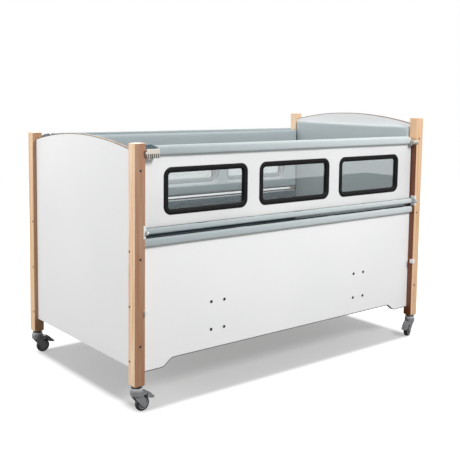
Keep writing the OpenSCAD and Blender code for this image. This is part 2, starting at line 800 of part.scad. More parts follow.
module at_pedal_pin() {
    translate([pedal_x, 0, pedal_z]) rotate([90, 0, 0]) children();
}

// A black collar holds the caster's stem in the post, and its pin goes down into the fork
module caster_collars() {
    color(RUBBER) for (end = [FOOT, HEAD], side = [FRONT, BACK])
        translate([end * post_x, side * post_y, 0]) rotate_extrude() polygon([
            [0, fork_low + 8], [swivel_r - 1, fork_low + 8], [swivel_r, fork_low + 9], [swivel_r, collar_low],
            [ring_r - 8, collar_low], [ring_r - 5, collar_low + 3], [ring_r - 5, post_foot],
            [swivel_r - 0.5, post_foot], [swivel_r - 0.5, post_foot + stem_l], [0, post_foot + stem_l]
        ]);
}

module caster_rings() {
    color(LAMINATE) for (end = [FOOT, HEAD], side = [FRONT, BACK])
        translate([end * post_x, side * post_y, 0]) rotate_extrude() polygon([
            [swivel_r + fit_gap, ring_low], [ring_r, ring_low], [ring_r, collar_low - 2],
            [ring_r - 2, collar_low], [swivel_r + fit_gap, collar_low]
        ]);
}

// The fork has a round grooved head on the swivel pin, two tapering cheeks with the axle between them,
// and two lugs that carry the brake pedal's pin
module fork(end, side) {
    color(NYLON) at_caster(end, side) {
        difference() {
            union() {
                rotate_extrude() polygon(concat(
                    [[0, fork_low], [fork_r - 4, fork_low], [fork_r, fork_low + 4]],
                    [for (h = [9, 15], d = [-1:1]) [fork_r - 1 + abs(d), fork_low + h + d]],
                    [for (a = [0:15:90]) [fork_r - 6, fork_top - 6] + 6 * unit(a)],
                    [[0, fork_top]]
                ));
                for (y = [-cheek_out, cheek_in]) along_y(y, y + cheek_t) {
                    polygon(strap_points([2, fork_low], 21, [trail, wheel_r], 15, 18));
                    polygon(strap_points([10, pedal_z], 11, [pedal_x, pedal_z], 8, 12));
                }
            }
            translate([0, 0, fork_low + 6]) drilled(fork_top, swivel_r + running_gap);
        }
        at_axle() translate([0, 0, -cheek_out - 1.5]) cylinder(h = 2 * cheek_out + 3, r = axle_r);
        for (y = [-1, 1]) translate([trail, y * (cheek_out + 0.75), wheel_r]) rotate([90, 0, 0])
            cylinder(h = 1.5, r = axle_r + 4.5, center = true);
        at_pedal_pin() translate([0, 0, -cheek_out + 1]) cylinder(h = 2 * cheek_out - 2, r = pedal_pin_r);
    }
}

// Half outline of the hub: bearing boss, dished web and rim
module hub(end, side) {
    rim = wheel_r - tyre_t;
    half = tyre_w / 2;
    color(NYLON) at_caster(end, side) at_axle() rotate_extrude() polygon([
        [axle_r + running_gap, -half - 0.7], [9, -half - 0.7], [11, 4 - half], [rim - 7, 5 - half],
        [rim - 5, 1 - half], [rim, 1 - half], [rim, half - 1], [rim - 5, half - 1], [rim - 7, half - 5],
        [11, half - 4], [9, half + 0.7], [axle_r + running_gap, half + 0.7]
    ]);
}

// A tyre's tread is a shallow curve between two flat sides
module tyre(end, side) {
    rim = wheel_r - tyre_t;
    half = tyre_w / 2;
    tread = [for (k = [-4:4]) let(t = k / 4) [wheel_r - 4 * abs(t) ^ 3, t * half]];
    color(RUBBER) at_caster(end, side) at_axle()
        rotate_extrude($fn = 96) polygon(concat([[rim, -half]], tread, [[rim, half]]));
}

function curve(p, q, r, n) = [for (k = [0:n]) let(t = k / n) p * (1 - t) ^ 2 + q * 2 * t * (1 - t) + r * t ^ 2];

// Side view of the pedal: a hood that arches from its pin down behind the wheel, with a brake shoe
// in its hollow side and a toe that turns outwards
module pedal_side2d() {
    toe = pedal_z - wheel_r;
    polygon(concat(
        curve([pedal_x - 9, pedal_z + 4], [pedal_x - 4, pedal_z + 9], [pedal_x + 6, pedal_z + 8], 4),
        curve([pedal_x + 10, pedal_z + 7], [pedal_x + 34, pedal_z - 4], [pedal_x + 42, toe + 12], 6),
        [[pedal_reach - 4, toe + 10], [pedal_reach, toe + 6], [pedal_reach - 3, toe + 1],
         [pedal_x + 38, toe + 3], [pedal_x + 30, toe + 10], [pedal_x + 20, toe + 22],
         [pedal_x + 10, toe + 30], [pedal_x - 9, pedal_z - 7]]
    ));
}

// Plan of the pedal's hood, set in by the wall's thickness for the hollow under it
module pedal_plan2d(inset) {
    back = pedal_x + 13;
    w = pedal_w - 2 * inset;
    translate([(back + pedal_reach) / 2, 0])
        rounded_box2d(pedal_reach - back - 2 * inset, w, w * 0.45);
}

module pedal(end, side) {
    neck = cheek_in - 0.5;
    color(NYLON) at_caster(end, side) difference() {
        intersection() {
            along_y(-pedal_w, pedal_w) pedal_side2d();
            linear_extrude(post_foot) {
                pedal_plan2d(0);
                translate([pedal_x - 10, -neck]) square([10 + 13 + pedal_w / 2, 2 * neck]);
            }
        }
        intersection() {
            translate([0, 0, -pedal_wall]) along_y(-pedal_w, pedal_w) pedal_side2d();
            translate([0, 0, -over]) linear_extrude(post_foot) pedal_plan2d(pedal_wall);
            translate([pedal_x + 16, -pedal_w, 0]) cube([pedal_reach, 2 * pedal_w, post_foot]);
        }
        at_pedal_pin() translate([0, 0, -pedal_w]) drilled(2 * pedal_w, pedal_pin_r + running_gap);
    }
}

post(FOOT, FRONT);  // post_foot_front
post(FOOT, BACK);  // post_foot_back
post(HEAD, FRONT);  // post_head_front
post(HEAD, BACK);  // post_head_back
end_board(FOOT);  // footboard
end_board(HEAD);  // headboard
lower_panel(FRONT);  // lower_panel_front
lower_panel(BACK);  // lower_panel_back
flap_panel(FRONT);  // flap_panel_front
flap_panel(BACK);  // flap_panel_back
window_seals(FRONT);  // window_seals_front
window_seals(BACK);  // window_seals_back
window_panes(FRONT);  // window_panes_front
window_panes(BACK);  // window_panes_back
flap_pad(FRONT);  // flap_pad_front
flap_pad(BACK);  // flap_pad_back
top_cover(FRONT);  // top_cover_front
top_cover(BACK);  // top_cover_back
mid_cover(FRONT);  // mid_cover_front
mid_cover(BACK);  // mid_cover_back
low_cover(FRONT);  // low_cover_front
low_cover(BACK);  // low_cover_back
lower_pad(FRONT);  // lower_pad_front
lower_pad(BACK);  // lower_pad_back
end_pad(FOOT);  // foot_pad
end_pad(HEAD);  // head_pad
mattress();
base_frame();
slats();
support_brackets();
panel_screws();
post_screws();
hinge_plates();
hinge_arms(FRONT);  // hinge_arms_front
hinge_arms(BACK);  // hinge_arms_back
buffers();
lock_cases(FRONT);  // lock_cases_front
lock_cases(BACK);  // lock_cases_back
lock_bolt(FOOT, FRONT);  // lock_bolt_foot_front
lock_bolt(FOOT, BACK);  // lock_bolt_foot_back
lock_bolt(HEAD, FRONT);  // lock_bolt_head_front
lock_bolt(HEAD, BACK);  // lock_bolt_head_back
caster_collars();
caster_rings();
fork(FOOT, FRONT);  // fork_foot_front
fork(FOOT, BACK);  // fork_foot_back
fork(HEAD, FRONT);  // fork_head_front
fork(HEAD, BACK);  // fork_head_back
hub(FOOT, FRONT);  // hub_foot_front
hub(FOOT, BACK);  // hub_foot_back
hub(HEAD, FRONT);  // hub_head_front
hub(HEAD, BACK);  // hub_head_back
tyre(FOOT, FRONT);  // tyre_foot_front
tyre(FOOT, BACK);  // tyre_foot_back
tyre(HEAD, FRONT);  // tyre_head_front
tyre(HEAD, BACK);  // tyre_head_back
pedal(FOOT, FRONT);  // pedal_foot_front
pedal(FOOT, BACK);  // pedal_foot_back
pedal(HEAD, FRONT);  // pedal_head_front
pedal(HEAD, BACK);  // pedal_head_back
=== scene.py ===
"""A special needs safety bed: beech posts on casters, white boards, windowed sides that fold down,
and a grey-blue padded lining. Everything is in metres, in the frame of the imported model."""

import math

import bmesh
import bpy
import numpy as np
from mathutils import Matrix, Vector


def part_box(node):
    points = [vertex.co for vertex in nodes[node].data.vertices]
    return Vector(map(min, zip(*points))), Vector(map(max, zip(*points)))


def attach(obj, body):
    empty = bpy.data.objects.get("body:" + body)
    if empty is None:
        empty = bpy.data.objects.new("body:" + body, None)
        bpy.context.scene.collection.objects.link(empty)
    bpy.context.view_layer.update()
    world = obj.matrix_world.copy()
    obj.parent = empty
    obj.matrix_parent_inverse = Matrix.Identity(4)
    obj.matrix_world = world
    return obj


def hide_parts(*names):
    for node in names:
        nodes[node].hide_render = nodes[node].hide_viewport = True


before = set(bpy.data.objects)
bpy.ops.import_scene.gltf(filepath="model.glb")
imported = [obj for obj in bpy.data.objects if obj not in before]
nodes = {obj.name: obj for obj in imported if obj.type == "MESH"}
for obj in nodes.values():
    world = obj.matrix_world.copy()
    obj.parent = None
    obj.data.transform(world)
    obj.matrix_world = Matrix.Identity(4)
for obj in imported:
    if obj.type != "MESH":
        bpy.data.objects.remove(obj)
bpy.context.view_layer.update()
scene = bpy.context.scene

# The camera stands to the left of the bed's foot at the height of a standing person's eyes.
# Its place, turn and lens are those of the photograph, found from the edges of posts and boards.
EYE = Vector((-2.9594, -3.6570, 1.5299))
EYE_YAW, EYE_PITCH, EYE_ROLL = 0.6829, 0.0962, 0.0135
FOCAL_PX, PICTURE_PX = 778.9, 460.0
CENTRE_PX = (236.1, 170.0)
SENSOR_MM = 36
ahead = Vector((
    math.sin(EYE_YAW) * math.cos(EYE_PITCH), math.cos(EYE_YAW) * math.cos(EYE_PITCH), -math.sin(EYE_PITCH)))
level = Vector((math.cos(EYE_YAW), -math.sin(EYE_YAW), 0))
upright = level.cross(ahead)
right = math.cos(EYE_ROLL) * level + math.sin(EYE_ROLL) * upright
upward = math.cos(EYE_ROLL) * upright - math.sin(EYE_ROLL) * level
lens = bpy.data.cameras.new("camera")
lens.sensor_width = SENSOR_MM
lens.lens = FOCAL_PX / PICTURE_PX * lens.sensor_width
lens.shift_x = (PICTURE_PX / 2 - CENTRE_PX[0]) / PICTURE_PX
lens.shift_y = (CENTRE_PX[1] - PICTURE_PX / 2) / PICTURE_PX
camera = bpy.data.objects.new("camera", lens)
camera.matrix_world = Matrix.Translation(EYE) @ Matrix((right, upward, -ahead)).transposed().to_4x4()
scene.collection.objects.link(camera)
scene.camera = camera
scene.view_settings.view_transform = "Standard"


# The studio is a white surround, a white floor and five broad lamps: overhead and on each of the four
# sides. The camera sees the floor as nearly white beyond the rectangle of the four wheels, as in the
# photograph, and its front edge is the dark horizon that the windows mirror.
def srgb(code):
    """sRGB hex colour to linear RGBA: the standard curve, a power of 2.4 above a short straight foot."""
    parts = [int(code[i:i + 2], 16) / 255 for i in (1, 3, 5)]
    return [c / 12.92 if c <= 0.04045 else ((c + 0.055) / 1.055) ** 2.4 for c in parts] + [1.0]


def add(tree, kind, inputs=None, **settings):
    """Adds one shader node, sets its properties, and fills its inputs with values or links."""
    made = tree.nodes.new("ShaderNode" + kind)
    for name, value in settings.items():
        setattr(made, name, value)
    for name, value in (inputs or {}).items():
        socket = made.inputs[name]
        if isinstance(value, bpy.types.NodeSocket):
            tree.links.new(value, socket)
        else:
            socket.default_value = value
    return made


def blank_material(name):
    """A material with an empty node tree."""
    made = bpy.data.materials.new(name)
    made.use_nodes = True
    made.node_tree.nodes.clear()
    return made, made.node_tree


# Strength of the surround's light, and how much brighter it is where a surface mirrors it
AMBIENT_LEVEL, MIRRORED_EXTRA = 0.40, 0.4
world = bpy.data.worlds.new("studio")
world.use_nodes = True
world.node_tree.nodes.clear()
scene.world = world
tree = world.node_tree
ray = add(tree, "LightPath")
direct = add(tree, "Math", {0: ray.outputs["Is Camera Ray"], 1: ray.outputs["Is Transmission Ray"]},
             operation="MAXIMUM")
seen = add(tree, "Math", {0: direct.outputs[0], 1: ray.outputs["Is Glossy Ray"]}, operation="MAXIMUM")
ambient = add(tree, "Background", {"Color": srgb("#F6F6F6"), "Strength": AMBIENT_LEVEL})
mirrored_gain = add(tree, "Math", {0: ray.outputs["Is Glossy Ray"], 1: MIRRORED_EXTRA, 2: 1.0},
                    operation="MULTIPLY_ADD")
backdrop = add(tree, "Background", {"Color": (1, 1, 1, 1), "Strength": mirrored_gain.outputs[0]})
both = add(tree, "MixShader", {0: seen.outputs[0], 1: ambient.outputs[0], 2: backdrop.outputs[0]})
add(tree, "OutputWorld", {"Surface": both.outputs[0]})

FLOOR_HALF, FLOOR_FRONT = 9.0, -7.9
WHEEL_BASE = (1.0, 0.55, 0.0)
# Brightness added to the floor between the wheels, next to them and far off, and where it changes
# The lower glow between the wheels, with its sharp border, is a painted shadow under the bed.
GLOW_UNDER, GLOW_NEAR, GLOW_FAR = 0.345, 0.86, 1.0
GLOW_BORDER, NEAR_RADIUS, FAR_RADIUS = 0.05, 1.8, 4.0
floor_mesh = bpy.data.meshes.new("floor")
floor_mesh.from_pydata(
    [(-FLOOR_HALF, FLOOR_FRONT, 0), (FLOOR_HALF, FLOOR_FRONT, 0), (FLOOR_HALF, FLOOR_HALF, 0),
     (-FLOOR_HALF, FLOOR_HALF, 0)],
    [], [(0, 1, 2, 3)])
floor = bpy.data.objects.new("floor", floor_mesh)
scene.collection.objects.link(floor)
paint, tree = blank_material("studio_floor")
ray = add(tree, "LightPath")
matte = add(tree, "BsdfDiffuse", {"Color": srgb("#9C9C9C")})
place = add(tree, "TexCoord").outputs["Object"]
away = add(tree, "VectorMath", {0: place}, operation="LENGTH")
white = add(tree, "MapRange", {
    "Value": away.outputs["Value"], "From Min": NEAR_RADIUS, "From Max": FAR_RADIUS,
    "To Min": GLOW_NEAR, "To Max": GLOW_FAR})
size = add(tree, "VectorMath", {0: place}, operation="ABSOLUTE")
beyond = add(tree, "VectorMath", {0: size.outputs[0], 1: WHEEL_BASE}, operation="SUBTRACT")
outside = add(tree, "VectorMath", {0: beyond.outputs[0], 1: (0, 0, 0)}, operation="MAXIMUM")
clear_of = add(tree, "VectorMath", {0: outside.outputs[0]}, operation="LENGTH")
edge = add(tree, "MapRange", {"Value": clear_of.outputs["Value"], "From Min": 0.0, "From Max": GLOW_BORDER})
# Less glow inside the wheels' rectangle: a painted shadow under the bed.
glow_level = add(tree, "Mix", {"Factor": edge.outputs[0], "A": GLOW_UNDER, "B": white.outputs[0]},
                 data_type="FLOAT")
glow = add(tree, "Emission", {"Color": (1, 1, 1, 1), "Strength": glow_level.outputs[0]})
lit = add(tree, "AddShader", {0: matte.outputs[0], 1: glow.outputs[0]})
direct = add(tree, "Math", {0: ray.outputs["Is Camera Ray"], 1: ray.outputs["Is Transmission Ray"]},
             operation="MAXIMUM")
shown = add(tree, "MixShader", {0: direct.outputs[0], 1: matte.outputs[0], 2: lit.outputs[0]})
add(tree, "OutputMaterial", {"Surface": shown.outputs[0]})
floor_mesh.materials.append(paint)

# Each lamp's place, the point it faces, its width, and its power in watts
LAMPS = {
    "overhead": ((0.2, 0.6, 4.2), (0, 0, 0.6), 3.0, 52),
    "foot_end": ((-5.6, 1.3, 2.2), (-0.6, 0, 0.8), 2.4, 158),
    "front": ((0.5, -4.6, 3.9), (0.0, 0, 0.8), 1.5, 224),
    "back": ((1.5, 5.6, 2.6), (0.2, 0, 0.7), 3.0, 95),
    "head_end": ((5.6, 0.5, 2.4), (0.8, 0, 0.8), 2.4, 70),
}
for name, (stand, target, width, watts) in LAMPS.items():
    lamp = bpy.data.lights.new(name, "AREA")
    lamp.size = width
    lamp.energy = watts
    holder = bpy.data.objects.new(name, lamp)
    holder.location = stand
    holder.rotation_euler = (Vector(target) - Vector(stand)).to_track_quat("-Z", "Y").to_euler()
    scene.collection.objects.link(holder)


# Posts: solid European beech, planed square, edges eased and lacquered. Beech is pale pink-brown,
# with straight, barely visible growth lines and short dark flecks along the grain.
# Heights between which a post's left face takes painted shade below the sides' top covers
SHADE_FROM, SHADE_FULL = 1.270, 1.258


def beech(name, light, dark, front_tone, left_shade=0.0):
    """Lacquered beech. Growth lines are noise stretched along Z, and flecks are a finer, denser noise.
    front_tone is how far the faces towards -Y lean to the darker heartwood colour. left_shade is how far
    those towards -X below the sides' top covers take the same dark brown as painted shade."""
    made, tree = blank_material(name)
    place = add(tree, "TexCoord").outputs["Object"]
    broad = add(tree, "Mapping", {"Vector": place, "Scale": (38, 38, 1.6)})
    band = add(tree, "TexNoise", {"Vector": broad.outputs[0], "Scale": 1.0, "Detail": 3.0, "Distortion": 0.6})
    fine = add(tree, "Mapping", {"Vector": place, "Scale": (320, 320, 7)})
    line = add(tree, "TexNoise", {"Vector": fine.outputs[0], "Scale": 1.0, "Detail": 4.0})
    short = add(tree, "Mapping", {"Vector": place, "Scale": (900, 900, 95)})
    fleck = add(tree, "TexNoise", {"Vector": short.outputs[0], "Scale": 1.0, "Detail": 1.0})
    dash = add(tree, "MapRange", {"Value": fleck.outputs["Fac"], "From Min": 0.60, "From Max": 0.72})
    grain = add(tree, "Mix", {"Factor": 0.45, "A": band.outputs["Fac"], "B": line.outputs["Fac"]},
                data_type="FLOAT")
    grain = add(tree, "MapRange", {"Value": grain.outputs[0], "From Min": 0.38, "From Max": 0.62})
    tone = add(tree, "Mix", {"Factor": grain.outputs[0], "A": srgb(light), "B": srgb(dark)}, data_type="RGBA")
    flecked = add(tree, "Mix", {"A": tone.outputs["Result"], "B": srgb("#9C6A48")}, data_type="RGBA")
    weak = add(tree, "Math", {0: dash.outputs[0], 1: 0.35}, operation="MULTIPLY")
    tree.links.new(weak.outputs[0], flecked.inputs["Factor"])
    normal = add(tree, "NewGeometry").outputs["Normal"]
    axes = add(tree, "SeparateXYZ", {"Vector": normal})
    facing = add(tree, "MapRange", {"Value": axes.outputs["Y"], "From Min": -0.55, "From Max": -0.8})
    lean = add(tree, "Math", {0: facing.outputs[0], 1: front_tone}, operation="MULTIPLY")
    # Faces towards -X below the covers are darkened towards the same brown: painted shade.
    turned = add(tree, "MapRange", {"Value": axes.outputs["X"], "From Min": -0.55, "From Max": -0.8})
    height = add(tree, "SeparateXYZ", {"Vector": place})
    under = add(tree, "MapRange", {
        "Value": height.outputs["Z"], "From Min": SHADE_FROM, "From Max": SHADE_FULL})
    shaded = add(tree, "Math", {0: turned.outputs[0], 1: under.outputs[0]}, operation="MULTIPLY")
    lean = add(tree, "Math", {0: shaded.outputs[0], 1: left_shade, 2: lean.outputs[0]},
               operation="MULTIPLY_ADD")
    heartwood_and_shade = add(tree, "Mix", {
        "Factor": lean.outputs[0], "A": flecked.outputs["Result"], "B": srgb("#763C1A")}, data_type="RGBA")
    bump = add(tree, "Bump", {"Height": line.outputs["Fac"], "Strength": 0.12, "Distance": 0.0004})
    lacquer = add(tree, "BsdfPrincipled", {
        "Base Color": heartwood_and_shade.outputs["Result"], "Roughness": 0.42, "IOR": 1.5, "Normal": bump.outputs[0],
        "Coat Weight": 0.15, "Coat Roughness": 0.25})
    add(tree, "OutputMaterial", {"Surface": lacquer.outputs[0]})
    return made


def dress(names, material):
    """Puts one material on the CAD nodes of these names."""
    for name in names:
        mesh = nodes[name].data
        mesh.materials.clear()
        mesh.materials.append(material)
        mesh.polygons.foreach_set("material_index", np.zeros(len(mesh.polygons), np.int32))


CORNERS = [(end, side) for end in ("foot", "head") for side in ("front", "back")]
# Each post's light and dark tone, how far its front faces lean to heartwood, and how much painted shade its
# left face takes below the covers
POST_TONES = {
    ("foot", "front"): ("#FFE4C4", "#E3B48A", 0.74, 0.0),
    ("foot", "back"): ("#F0CDA6", "#D7AA7E", 0.58, 0.0),
    ("head", "front"): ("#EFCBA5", "#D8AC82", 0.12, 1.0),
    ("head", "back"): ("#FAE2C4", "#EBC6A0", 0.1, 0.0),
}
for corner in CORNERS:
    wood = beech("lacquered_beech_" + "_".join(corner), *POST_TONES[corner])
    dress(["post_" + "_".join(corner)], wood)


# End boards and side boards: particle board faced with white melamine, a hard satin film with a
# faint orange-peel texture. The boards are cut straight, and their edges are closed with a band.
def melamine(name, colour):
    """White laminate: plain colour with a slow tone drift, 1.5 mm orange peel in the bump."""
    made, tree = blank_material(name)
    place = add(tree, "TexCoord").outputs["Object"]
    drift = add(tree, "TexNoise", {"Vector": place, "Scale": 2.2, "Detail": 1.0})
    tone = add(tree, "Mix", {"Factor": drift.outputs["Fac"], "A": srgb(colour), "B": srgb("#E9EAEA")},
               data_type="RGBA")
    peel = add(tree, "TexNoise", {"Vector": place, "Scale": 650, "Detail": 2.0})
    bump = add(tree, "Bump", {"Height": peel.outputs["Fac"], "Strength": 0.06, "Distance": 0.0003})
    film = add(tree, "BsdfPrincipled", {
        "Base Color": tone.outputs["Result"], "Roughness": 0.38, "IOR": 1.49, "Normal": bump.outputs[0]})
    add(tree, "OutputMaterial", {"Surface": film.outputs[0]})
    return made


white_film = melamine("white_melamine", "#F1F1F1")
dress(["footboard", "headboard", "lower_panel_front", "lower_panel_back"], white_film)
# The window boards' film is a darker copy of the same white: painted shade.
dress(["flap_panel_front", "flap_panel_back"], melamine("white_melamine_window_board_painted_shade", "#D2D2D3"))


# Edge bands: a brown wood-grain strip glued on the arched edges of the end boards, and a dark grey one
# of ABS under the lower side boards. Each lies on the board's edge, as wide as the board is thick.
SIDES = {"front": -1, "back": 1}
BAND_THICK = 0.004
ARCH_RISE = 0.055


def grid_mesh(name, points, wrap_u=False, wrap_v=False):
    """A surface from an array of points of shape (u, v, 3). A wrapped direction closes on itself."""
    count_u, count_v = points.shape[:2]
    u = np.arange(count_u if wrap_u else count_u - 1)
    v = np.arange(count_v if wrap_v else count_v - 1)
    uu, vv = np.meshgrid(u, v, indexing="ij")
    un, vn = (uu + 1) % count_u, (vv + 1) % count_v
    faces = np.stack([uu * count_v + vv, un * count_v + vv, un * count_v + vn, uu * count_v + vn], -1)
    mesh = bpy.data.meshes.new(name)
    mesh.from_pydata(points.reshape(-1, 3).tolist(), [], faces.reshape(-1, 4).tolist())
    mesh.update()
    return mesh


def finish_piece(name, mesh, material, body, smooth=True, fold_ends=False):
    """Merges doubles, closes open ends, turns the faces outwards and makes the mesh a piece that rides on
    a body."""
    work = bmesh.new()
    work.from_mesh(mesh)
    bmesh.ops.remove_doubles(work, verts=work.verts, dist=1e-6)
    if fold_ends:
        bmesh.ops.holes_fill(work, edges=[e for e in work.edges if e.is_boundary], sides=0)
    bmesh.ops.recalc_face_normals(work, faces=work.faces)
    work.to_mesh(mesh)
    work.free()
    if smooth:
        mesh.polygons.foreach_set("use_smooth", np.ones(len(mesh.polygons), bool))
    mesh.materials.append(material)
    piece = bpy.data.objects.new(name, mesh)
    scene.collection.objects.link(piece)
    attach(piece, body)
    return piece


def edge_strip(name, path, normals, across, width, thick, material, body):
    """A flat band along a path: four corners at every point, width along the across axis and
    thickness along the point's own normal."""
    path, normals = np.asarray(path, float), np.asarray(normals, float)
    across = np.asarray(across, float)
    corners = [(-0.5, 0), (0.5, 0), (0.5, 1), (-0.5, 1)]
    rings = np.stack([path + across * width * a + normals * thick * b for a, b in corners], 1)
    return finish_piece(
        name, grid_mesh(name, rings, wrap_v=True), material, body, smooth=False, fold_ends=True)


band_wood, tree = blank_material("beech_edge_band")
place = add(tree, "TexCoord").outputs["Object"]
stretch = add(tree, "Mapping", {"Vector": place, "Scale": (300, 12, 300)})
lines = add(tree, "TexNoise", {"Vector": stretch.outputs[0], "Scale": 1.0, "Detail": 3.0})
tone = add(tree, "Mix", {"Factor": lines.outputs["Fac"], "A": srgb("#8C765F"), "B": srgb("#6B5847")},
           data_type="RGBA")
strip = add(tree, "BsdfPrincipled", {"Base Color": tone.outputs["Result"], "Roughness": 0.5})
add(tree, "OutputMaterial", {"Surface": strip.outputs[0]})
for name in ("footboard", "headboard"):
    low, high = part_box(name)
    radius = (high.y ** 2 + ARCH_RISE ** 2) / (2 * ARCH_RISE)
    turn = np.linspace(-math.asin(high.y / radius), math.asin(high.y / radius), 81)
    normals = np.stack([np.zeros_like(turn), np.sin(turn), np.cos(turn)], -1)
    path = normals * radius + np.array([(low.x + high.x) / 2, 0, high.z - radius])
    edge_strip(name + "_edge_band", path, normals, (1, 0, 0), high.x - low.x, BAND_THICK, band_wood, "frame")

dark_band, tree = blank_material("grey_abs_edge_band")
place = add(tree, "TexCoord").outputs["Object"]
haze = add(tree, "TexNoise", {"Vector": place, "Scale": 40, "Detail": 2.0})
tone = add(tree, "Mix", {"Factor": haze.outputs["Fac"], "A": srgb("#3F3E3D"), "B": srgb("#52504E")},
           data_type="RGBA")
strip = add(tree, "BsdfPrincipled", {"Base Color": tone.outputs["Result"], "Roughness": 0.5})
add(tree, "OutputMaterial", {"Surface": strip.outputs[0]})
SKIRT_FOOT, SKIRT_CURVE, SKIRT_RISE = 0.117, 0.075, 0.039
for side in SIDES:
    low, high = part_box("lower_panel_" + side)
    t = np.linspace(0, 1, 25)
    x = high.x - SKIRT_FOOT - SKIRT_CURVE * (1 - t)
    z = low.z + SKIRT_RISE * (1 + np.cos(np.pi * t)) / 2
    x = np.concatenate([x, [high.x]])
    z = np.concatenate([z, [low.z]])
    x, z = np.concatenate([-x[::-1], x]), np.concatenate([z[::-1], z])
    path = np.stack([x, np.full_like(x, (low.y + high.y) / 2), z], -1)
    along = np.gradient(path, axis=0)
    along /= np.linalg.norm(along, axis=1)[:, None]
    normals = np.stack([along[:, 2], np.zeros_like(x), -along[:, 0]], -1)
    edge_strip(f"lower_panel_{side}_edge_band", path, normals, (0, 1, 0), high.y - low.y, BAND_THICK,
               dark_band, "frame")


# Window seals: one rubber extrusion bent round each window, gripping the board with a lip on each face.
# The lips are domed. The rubber is matt, black outside with a slight grey bloom, and grey inside.
rubber, tree = blank_material("black_epdm_rubber")
place = add(tree, "TexCoord").outputs["Object"]
bloom = add(tree, "TexNoise", {"Vector": place, "Scale": 60, "Detail": 3.0})
tone = add(tree, "Mix", {"Factor": bloom.outputs["Fac"], "A": srgb("#0A0A0B"), "B": srgb("#141416")},
           data_type="RGBA")
grit = add(tree, "TexNoise", {"Vector": place, "Scale": 1400, "Detail": 2.0})
bump = add(tree, "Bump", {"Height": grit.outputs["Fac"], "Strength": 0.15, "Distance": 0.0002})
skin = add(tree, "BsdfPrincipled", {
    "Base Color": tone.outputs["Result"], "Roughness": 0.5, "Specular IOR Level": 0.12,
    "Normal": bump.outputs[0]})
add(tree, "OutputMaterial", {"Surface": skin.outputs[0]})

grey_lip, tree = blank_material("grey_epdm_inner_lip")
place = add(tree, "TexCoord").outputs["Object"]
bloom = add(tree, "TexNoise", {"Vector": place, "Scale": 60, "Detail": 3.0})
tone = add(tree, "Mix", {"Factor": bloom.outputs["Fac"], "A": srgb("#8B9598"), "B": srgb("#7C868A")},
           data_type="RGBA")
skin = add(tree, "BsdfPrincipled", {"Base Color": tone.outputs["Result"], "Roughness": 0.5})
add(tree, "OutputMaterial", {"Surface": skin.outputs[0]})

# Outer size of a seal, its corners' radius and the windows' spacing, then the lips' width, their lap
# over the board and how far they stand proud of it
WIN_W, WIN_H, WIN_R, WIN_PITCH = 0.530, 0.235, 0.045, 0.610
SEAL_BAND, SEAL_LAP, SEAL_PROUD = 0.028, 0.010, 0.0042


def rounded_loop(width, height, radius, corner_steps, side_steps):
    """Round a rectangle with round corners: for each point, its corner's centre and its outward direction."""
    centres, outs = [], []
    for quarter in range(4):
        sx, sy = [(1, 1), (-1, 1), (-1, -1), (1, -1)][quarter]
        centre = np.array([sx * (width / 2 - radius), sy * (height / 2 - radius)])
        turn = np.linspace(quarter * np.pi / 2, (quarter + 1) * np.pi / 2, corner_steps)
        centres.append(np.repeat(centre[None], corner_steps, 0))
        outs.append(np.stack([np.cos(turn), np.sin(turn)], -1))
        following = centre * ([-1, 1] if quarter % 2 == 0 else [1, -1])
        t = np.linspace(0, 1, side_steps + 1)[1:-1, None]
        centres.append(centre + (following - centre) * t)
        outs.append(np.repeat(outs[-1][-1:], side_steps - 1, 0))
    return np.concatenate(centres), np.concatenate(outs)


def seal_profile(board):
    """Section of the seal as (inset from the outer edge, distance in front of the board's face).
    Both lips are half waves, and the middle fills the board's opening."""
    t = np.linspace(0, 1, 15)
    dome = SEAL_PROUD * (np.sin(np.pi * np.clip(t * 1.02, 0, 1) ** 0.8) ** 0.55)
    front = np.stack([t * SEAL_BAND, np.maximum(dome, 0)], -1)
    back = np.stack([t[::-1] * SEAL_BAND, -board - np.maximum(dome[::-1], 0)], -1)
    hold = np.array([[SEAL_LAP, -board], [SEAL_LAP, 0.0]])
    return np.concatenate([front, back, hold])


for side, sign in SIDES.items():
    low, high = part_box("flap_panel_" + side)
    face = max(abs(low.y), abs(high.y))
    middle_z = sum(c.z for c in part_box("window_seals_" + side)) / 2
    centres, outs = rounded_loop(WIN_W, WIN_H, WIN_R, 13, 6)
    profile = seal_profile(high.y - low.y)
    flat = centres[:, None] + outs[:, None] * (WIN_R - profile[None, :, :1])
    depth = np.broadcast_to(sign * (face + profile[None, :, 1:]), flat.shape[:2] + (1,))
    vertices, faces = [], []
    for column in (-1, 0, 1):
        rings = np.concatenate([flat[..., :1] + column * WIN_PITCH, depth, flat[..., 1:] + middle_z], -1)
        part = grid_mesh("seal_part", rings, wrap_u=True, wrap_v=True)
        offset = len(vertices)
        vertices += [v.co[:] for v in part.vertices]
        faces += [[i + offset for i in p.vertices] for p in part.polygons]
        bpy.data.meshes.remove(part)
    mesh = bpy.data.meshes.new("window_seal_rings_" + side)
    mesh.from_pydata(vertices, [], faces)
    seal = finish_piece("window_seal_rings_" + side, mesh, rubber, "flap_" + side)
    mesh.materials.append(grey_lip)
    for polygon in mesh.polygons:
        polygon.material_index = int(abs(polygon.center.y) < face - (high.y - low.y) - 0.0001)
    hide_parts("window_seals_" + side)


# Window panes: clear acrylic with a hard coat, held in the seals' grooves. The edges don't show.
clear, tree = blank_material("clear_hard_coated_acrylic")
sheet = add(tree, "BsdfPrincipled", {
    "Base Color": srgb("#DBE1E1"), "Roughness": 0.02, "IOR": 1.49, "Transmission Weight": 1.0,
    "Coat Weight": 1.0, "Coat IOR": 1.75, "Coat Roughness": 0.01})
add(tree, "OutputMaterial", {"Surface": sheet.outputs[0]})
dress(["window_panes_front", "window_panes_back"], clear)


# Lining cloth: a coated upholstery fabric, easy to wipe, with a fine plain weave under a soft satin coat.
# It is grey-blue on the upper pads and the edge covers, and dark petrol low down, partly painted shade. The
# black cloth on the edges that face each other across the gaps is painted shade.
MM = 0.001
WEAVE_MM = 1.4


